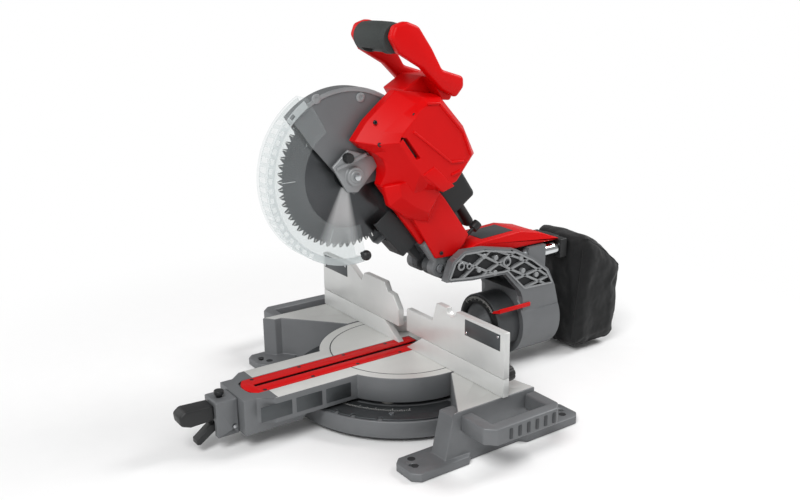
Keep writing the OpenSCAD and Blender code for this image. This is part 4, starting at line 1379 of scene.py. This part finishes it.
@dataclass
class Bag(Assembly):
    """Black cloth dust bag: a lofted sagging shell, blown a little by a cloth simulation."""

    body: str = "carriage"
    # Per station its place, bottom, top and half width
    stations: tuple = (
        (376, 186, 244, 46), (386, 120, 245, 56), (397, 30, 246, 66), (408, 12, 245, 69),
        (436, 10, 232, 69), (466, 9, 212, 69), (496, 10, 190, 69), (514, 15, 176, 66), (522, 28, 166, 58))
    corner: float = 13.0
    lean: float = 0.11
    # The simulation: mouth's depth, frames, and how far the filter cloth may move from its sewn shape
    mouth: float = 0.384
    frames: int = 20
    slack: float = 0.004
    # Folds: size of the pattern and height, in metres
    folds: tuple = (("long_folds", 0.055, 0.010), ("small_folds", 0.018, 0.0025))

    def details(self) -> None:
        """Makes and finishes the bag and its seams."""
        bag = Bench.loft("bag_shell", [self.ring(*row) for row in self.stations])
        Bench.apply(bag, "REMESH", mode="VOXEL", voxel_size=0.005)
        self.inflate(bag)
        self.crease(bag)
        self.stand_in(bag, BAG_CLOTH, "dust_bag")
        self.seam(bag)

    def ring(self, y: float, low: float, high: float, half: float) -> list[Vector]:
        """Gives a rounded rectangle at one station.

        Args:
            y: the station.
            low: bottom.
            high: top.
            half: half width.

        Returns:
            Points of the ring.
        """
        corner = min(self.corner, (high - low) / 2.2, half / 2)
        points = []
        for cx, cz, start in ((half - corner, high - corner, 0), (corner - half, high - corner, 90),
                              (corner - half, low + corner, 180), (half - corner, low + corner, 270)):
            for step in range(5):
                angle = math.radians(start + step * 22.5)
                z = cz + corner * math.sin(angle)
                points.append(row_point(cx + corner * math.cos(angle), self.leaned(y, z), z))
        return points

    def leaned(self, y: float, z: float) -> float:
        """Moves the bag's foot forward, as it hangs from its mouth."""
        return max(376.0, y + (z - 200.0) * self.lean)

    def inflate(self, bag: Piece) -> None:
        """Lets the cloth fill and sag for a few frames, held at its mouth.

        Args:
            bag: the remeshed shell.
        """
        held = bag.vertex_groups.new(name="mouth")
        for vertex in bag.data.vertices:
            if vertex.co.y < self.mouth:
                held.add([vertex.index], 1.0, "REPLACE")
        before = [v.co.copy() for v in bag.data.vertices]
        Bench.pick(bag)
        bpy.ops.object.modifier_add(type="CLOTH")
        cloth = bag.modifiers[-1]
        cloth.settings.vertex_group_mass = "mouth"
        cloth.settings.use_pressure = True
        cloth.settings.uniform_pressure_force = 4.0
        cloth.settings.effector_weights.gravity = 0.0
        cloth.settings.mass = 0.25
        cloth.point_cache.frame_start = 1
        cloth.point_cache.frame_end = self.frames
        scene = bpy.context.scene
        for frame in range(1, self.frames + 1):
            scene.frame_set(frame)
        Bench.pick(bag)
        bpy.ops.object.modifier_apply(modifier=cloth.name)
        scene.frame_set(1)
        for vertex, old in zip(bag.data.vertices, before):
            move = vertex.co - old
            if move.length > self.slack:
                vertex.co = old + move.normalized() * self.slack

    def crease(self, bag: Piece) -> None:
        """Adds slack folds to the cloth, and smooths it.

        Args:
            bag: the shell after its simulation.
        """
        Bench.apply(bag, "SUBSURF", levels=1)
        for name, size, strength in self.folds:
            texture = bpy.data.textures.new(name, "CLOUDS")
            texture.noise_scale = size
            texture.noise_depth = 1
            Bench.apply(bag, "DISPLACE", texture=texture, texture_coords="LOCAL", mid_level=0.5,
                        strength=strength)
        bpy.ops.object.shade_smooth()

    def seam(self, bag: Piece) -> None:
        """Sews a piped seam round the bag's right and left faces, laid on the cloth.

        Args:
            bag: the finished shell.
        """
        rows = self.stations[2:]
        corners = [(y, low + 5, half - 3) for y, low, _, half in rows]
        corners += [(y, high - 5, half - 3) for y, _, high, half in reversed(rows)]
        for side, name in ((-1, "left"), (1, "right")):
            path = [row_point(side * x, self.leaned(y, z), z) for y, z, x in corners]
            fine = [a.lerp(b, step / 8) for a, b in zip(path, path[1:] + path[:1]) for step in range(8)]
            curve = bpy.data.curves.new(f"bag_seam_{name}", "CURVE")
            curve.dimensions = "3D"
            curve.bevel_depth = 0.0014
            curve.bevel_resolution = 2
            line = curve.splines.new("POLY")
            line.points.add(len(fine) - 1)
            for point, spot in zip(line.points, fine):
                point.co = (*bag.closest_point_on_mesh(spot)[1], 1.0)
            line.use_cyclic_u = True
            Bench.pick(Bench.link(f"bag_seam_{name}", curve))
            bpy.ops.object.convert(target="MESH")
            self.add(bpy.context.object, BAG_CLOTH, "dust_bag")


def main() -> None:
    """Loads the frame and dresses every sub-assembly."""
    logging.basicConfig(level=logging.INFO)
    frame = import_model()
    Studio().build()
    dresser = Dresser(frame["nodes"])
    for kind in (Base, Table, Fences, Bevel, Slide, Housing, Handle, Cutting, Bag):
        kind(dresser).build()
    LOG.info("dressed %d pieces", len(dresser.made))


if __name__ == "__main__":
    main()
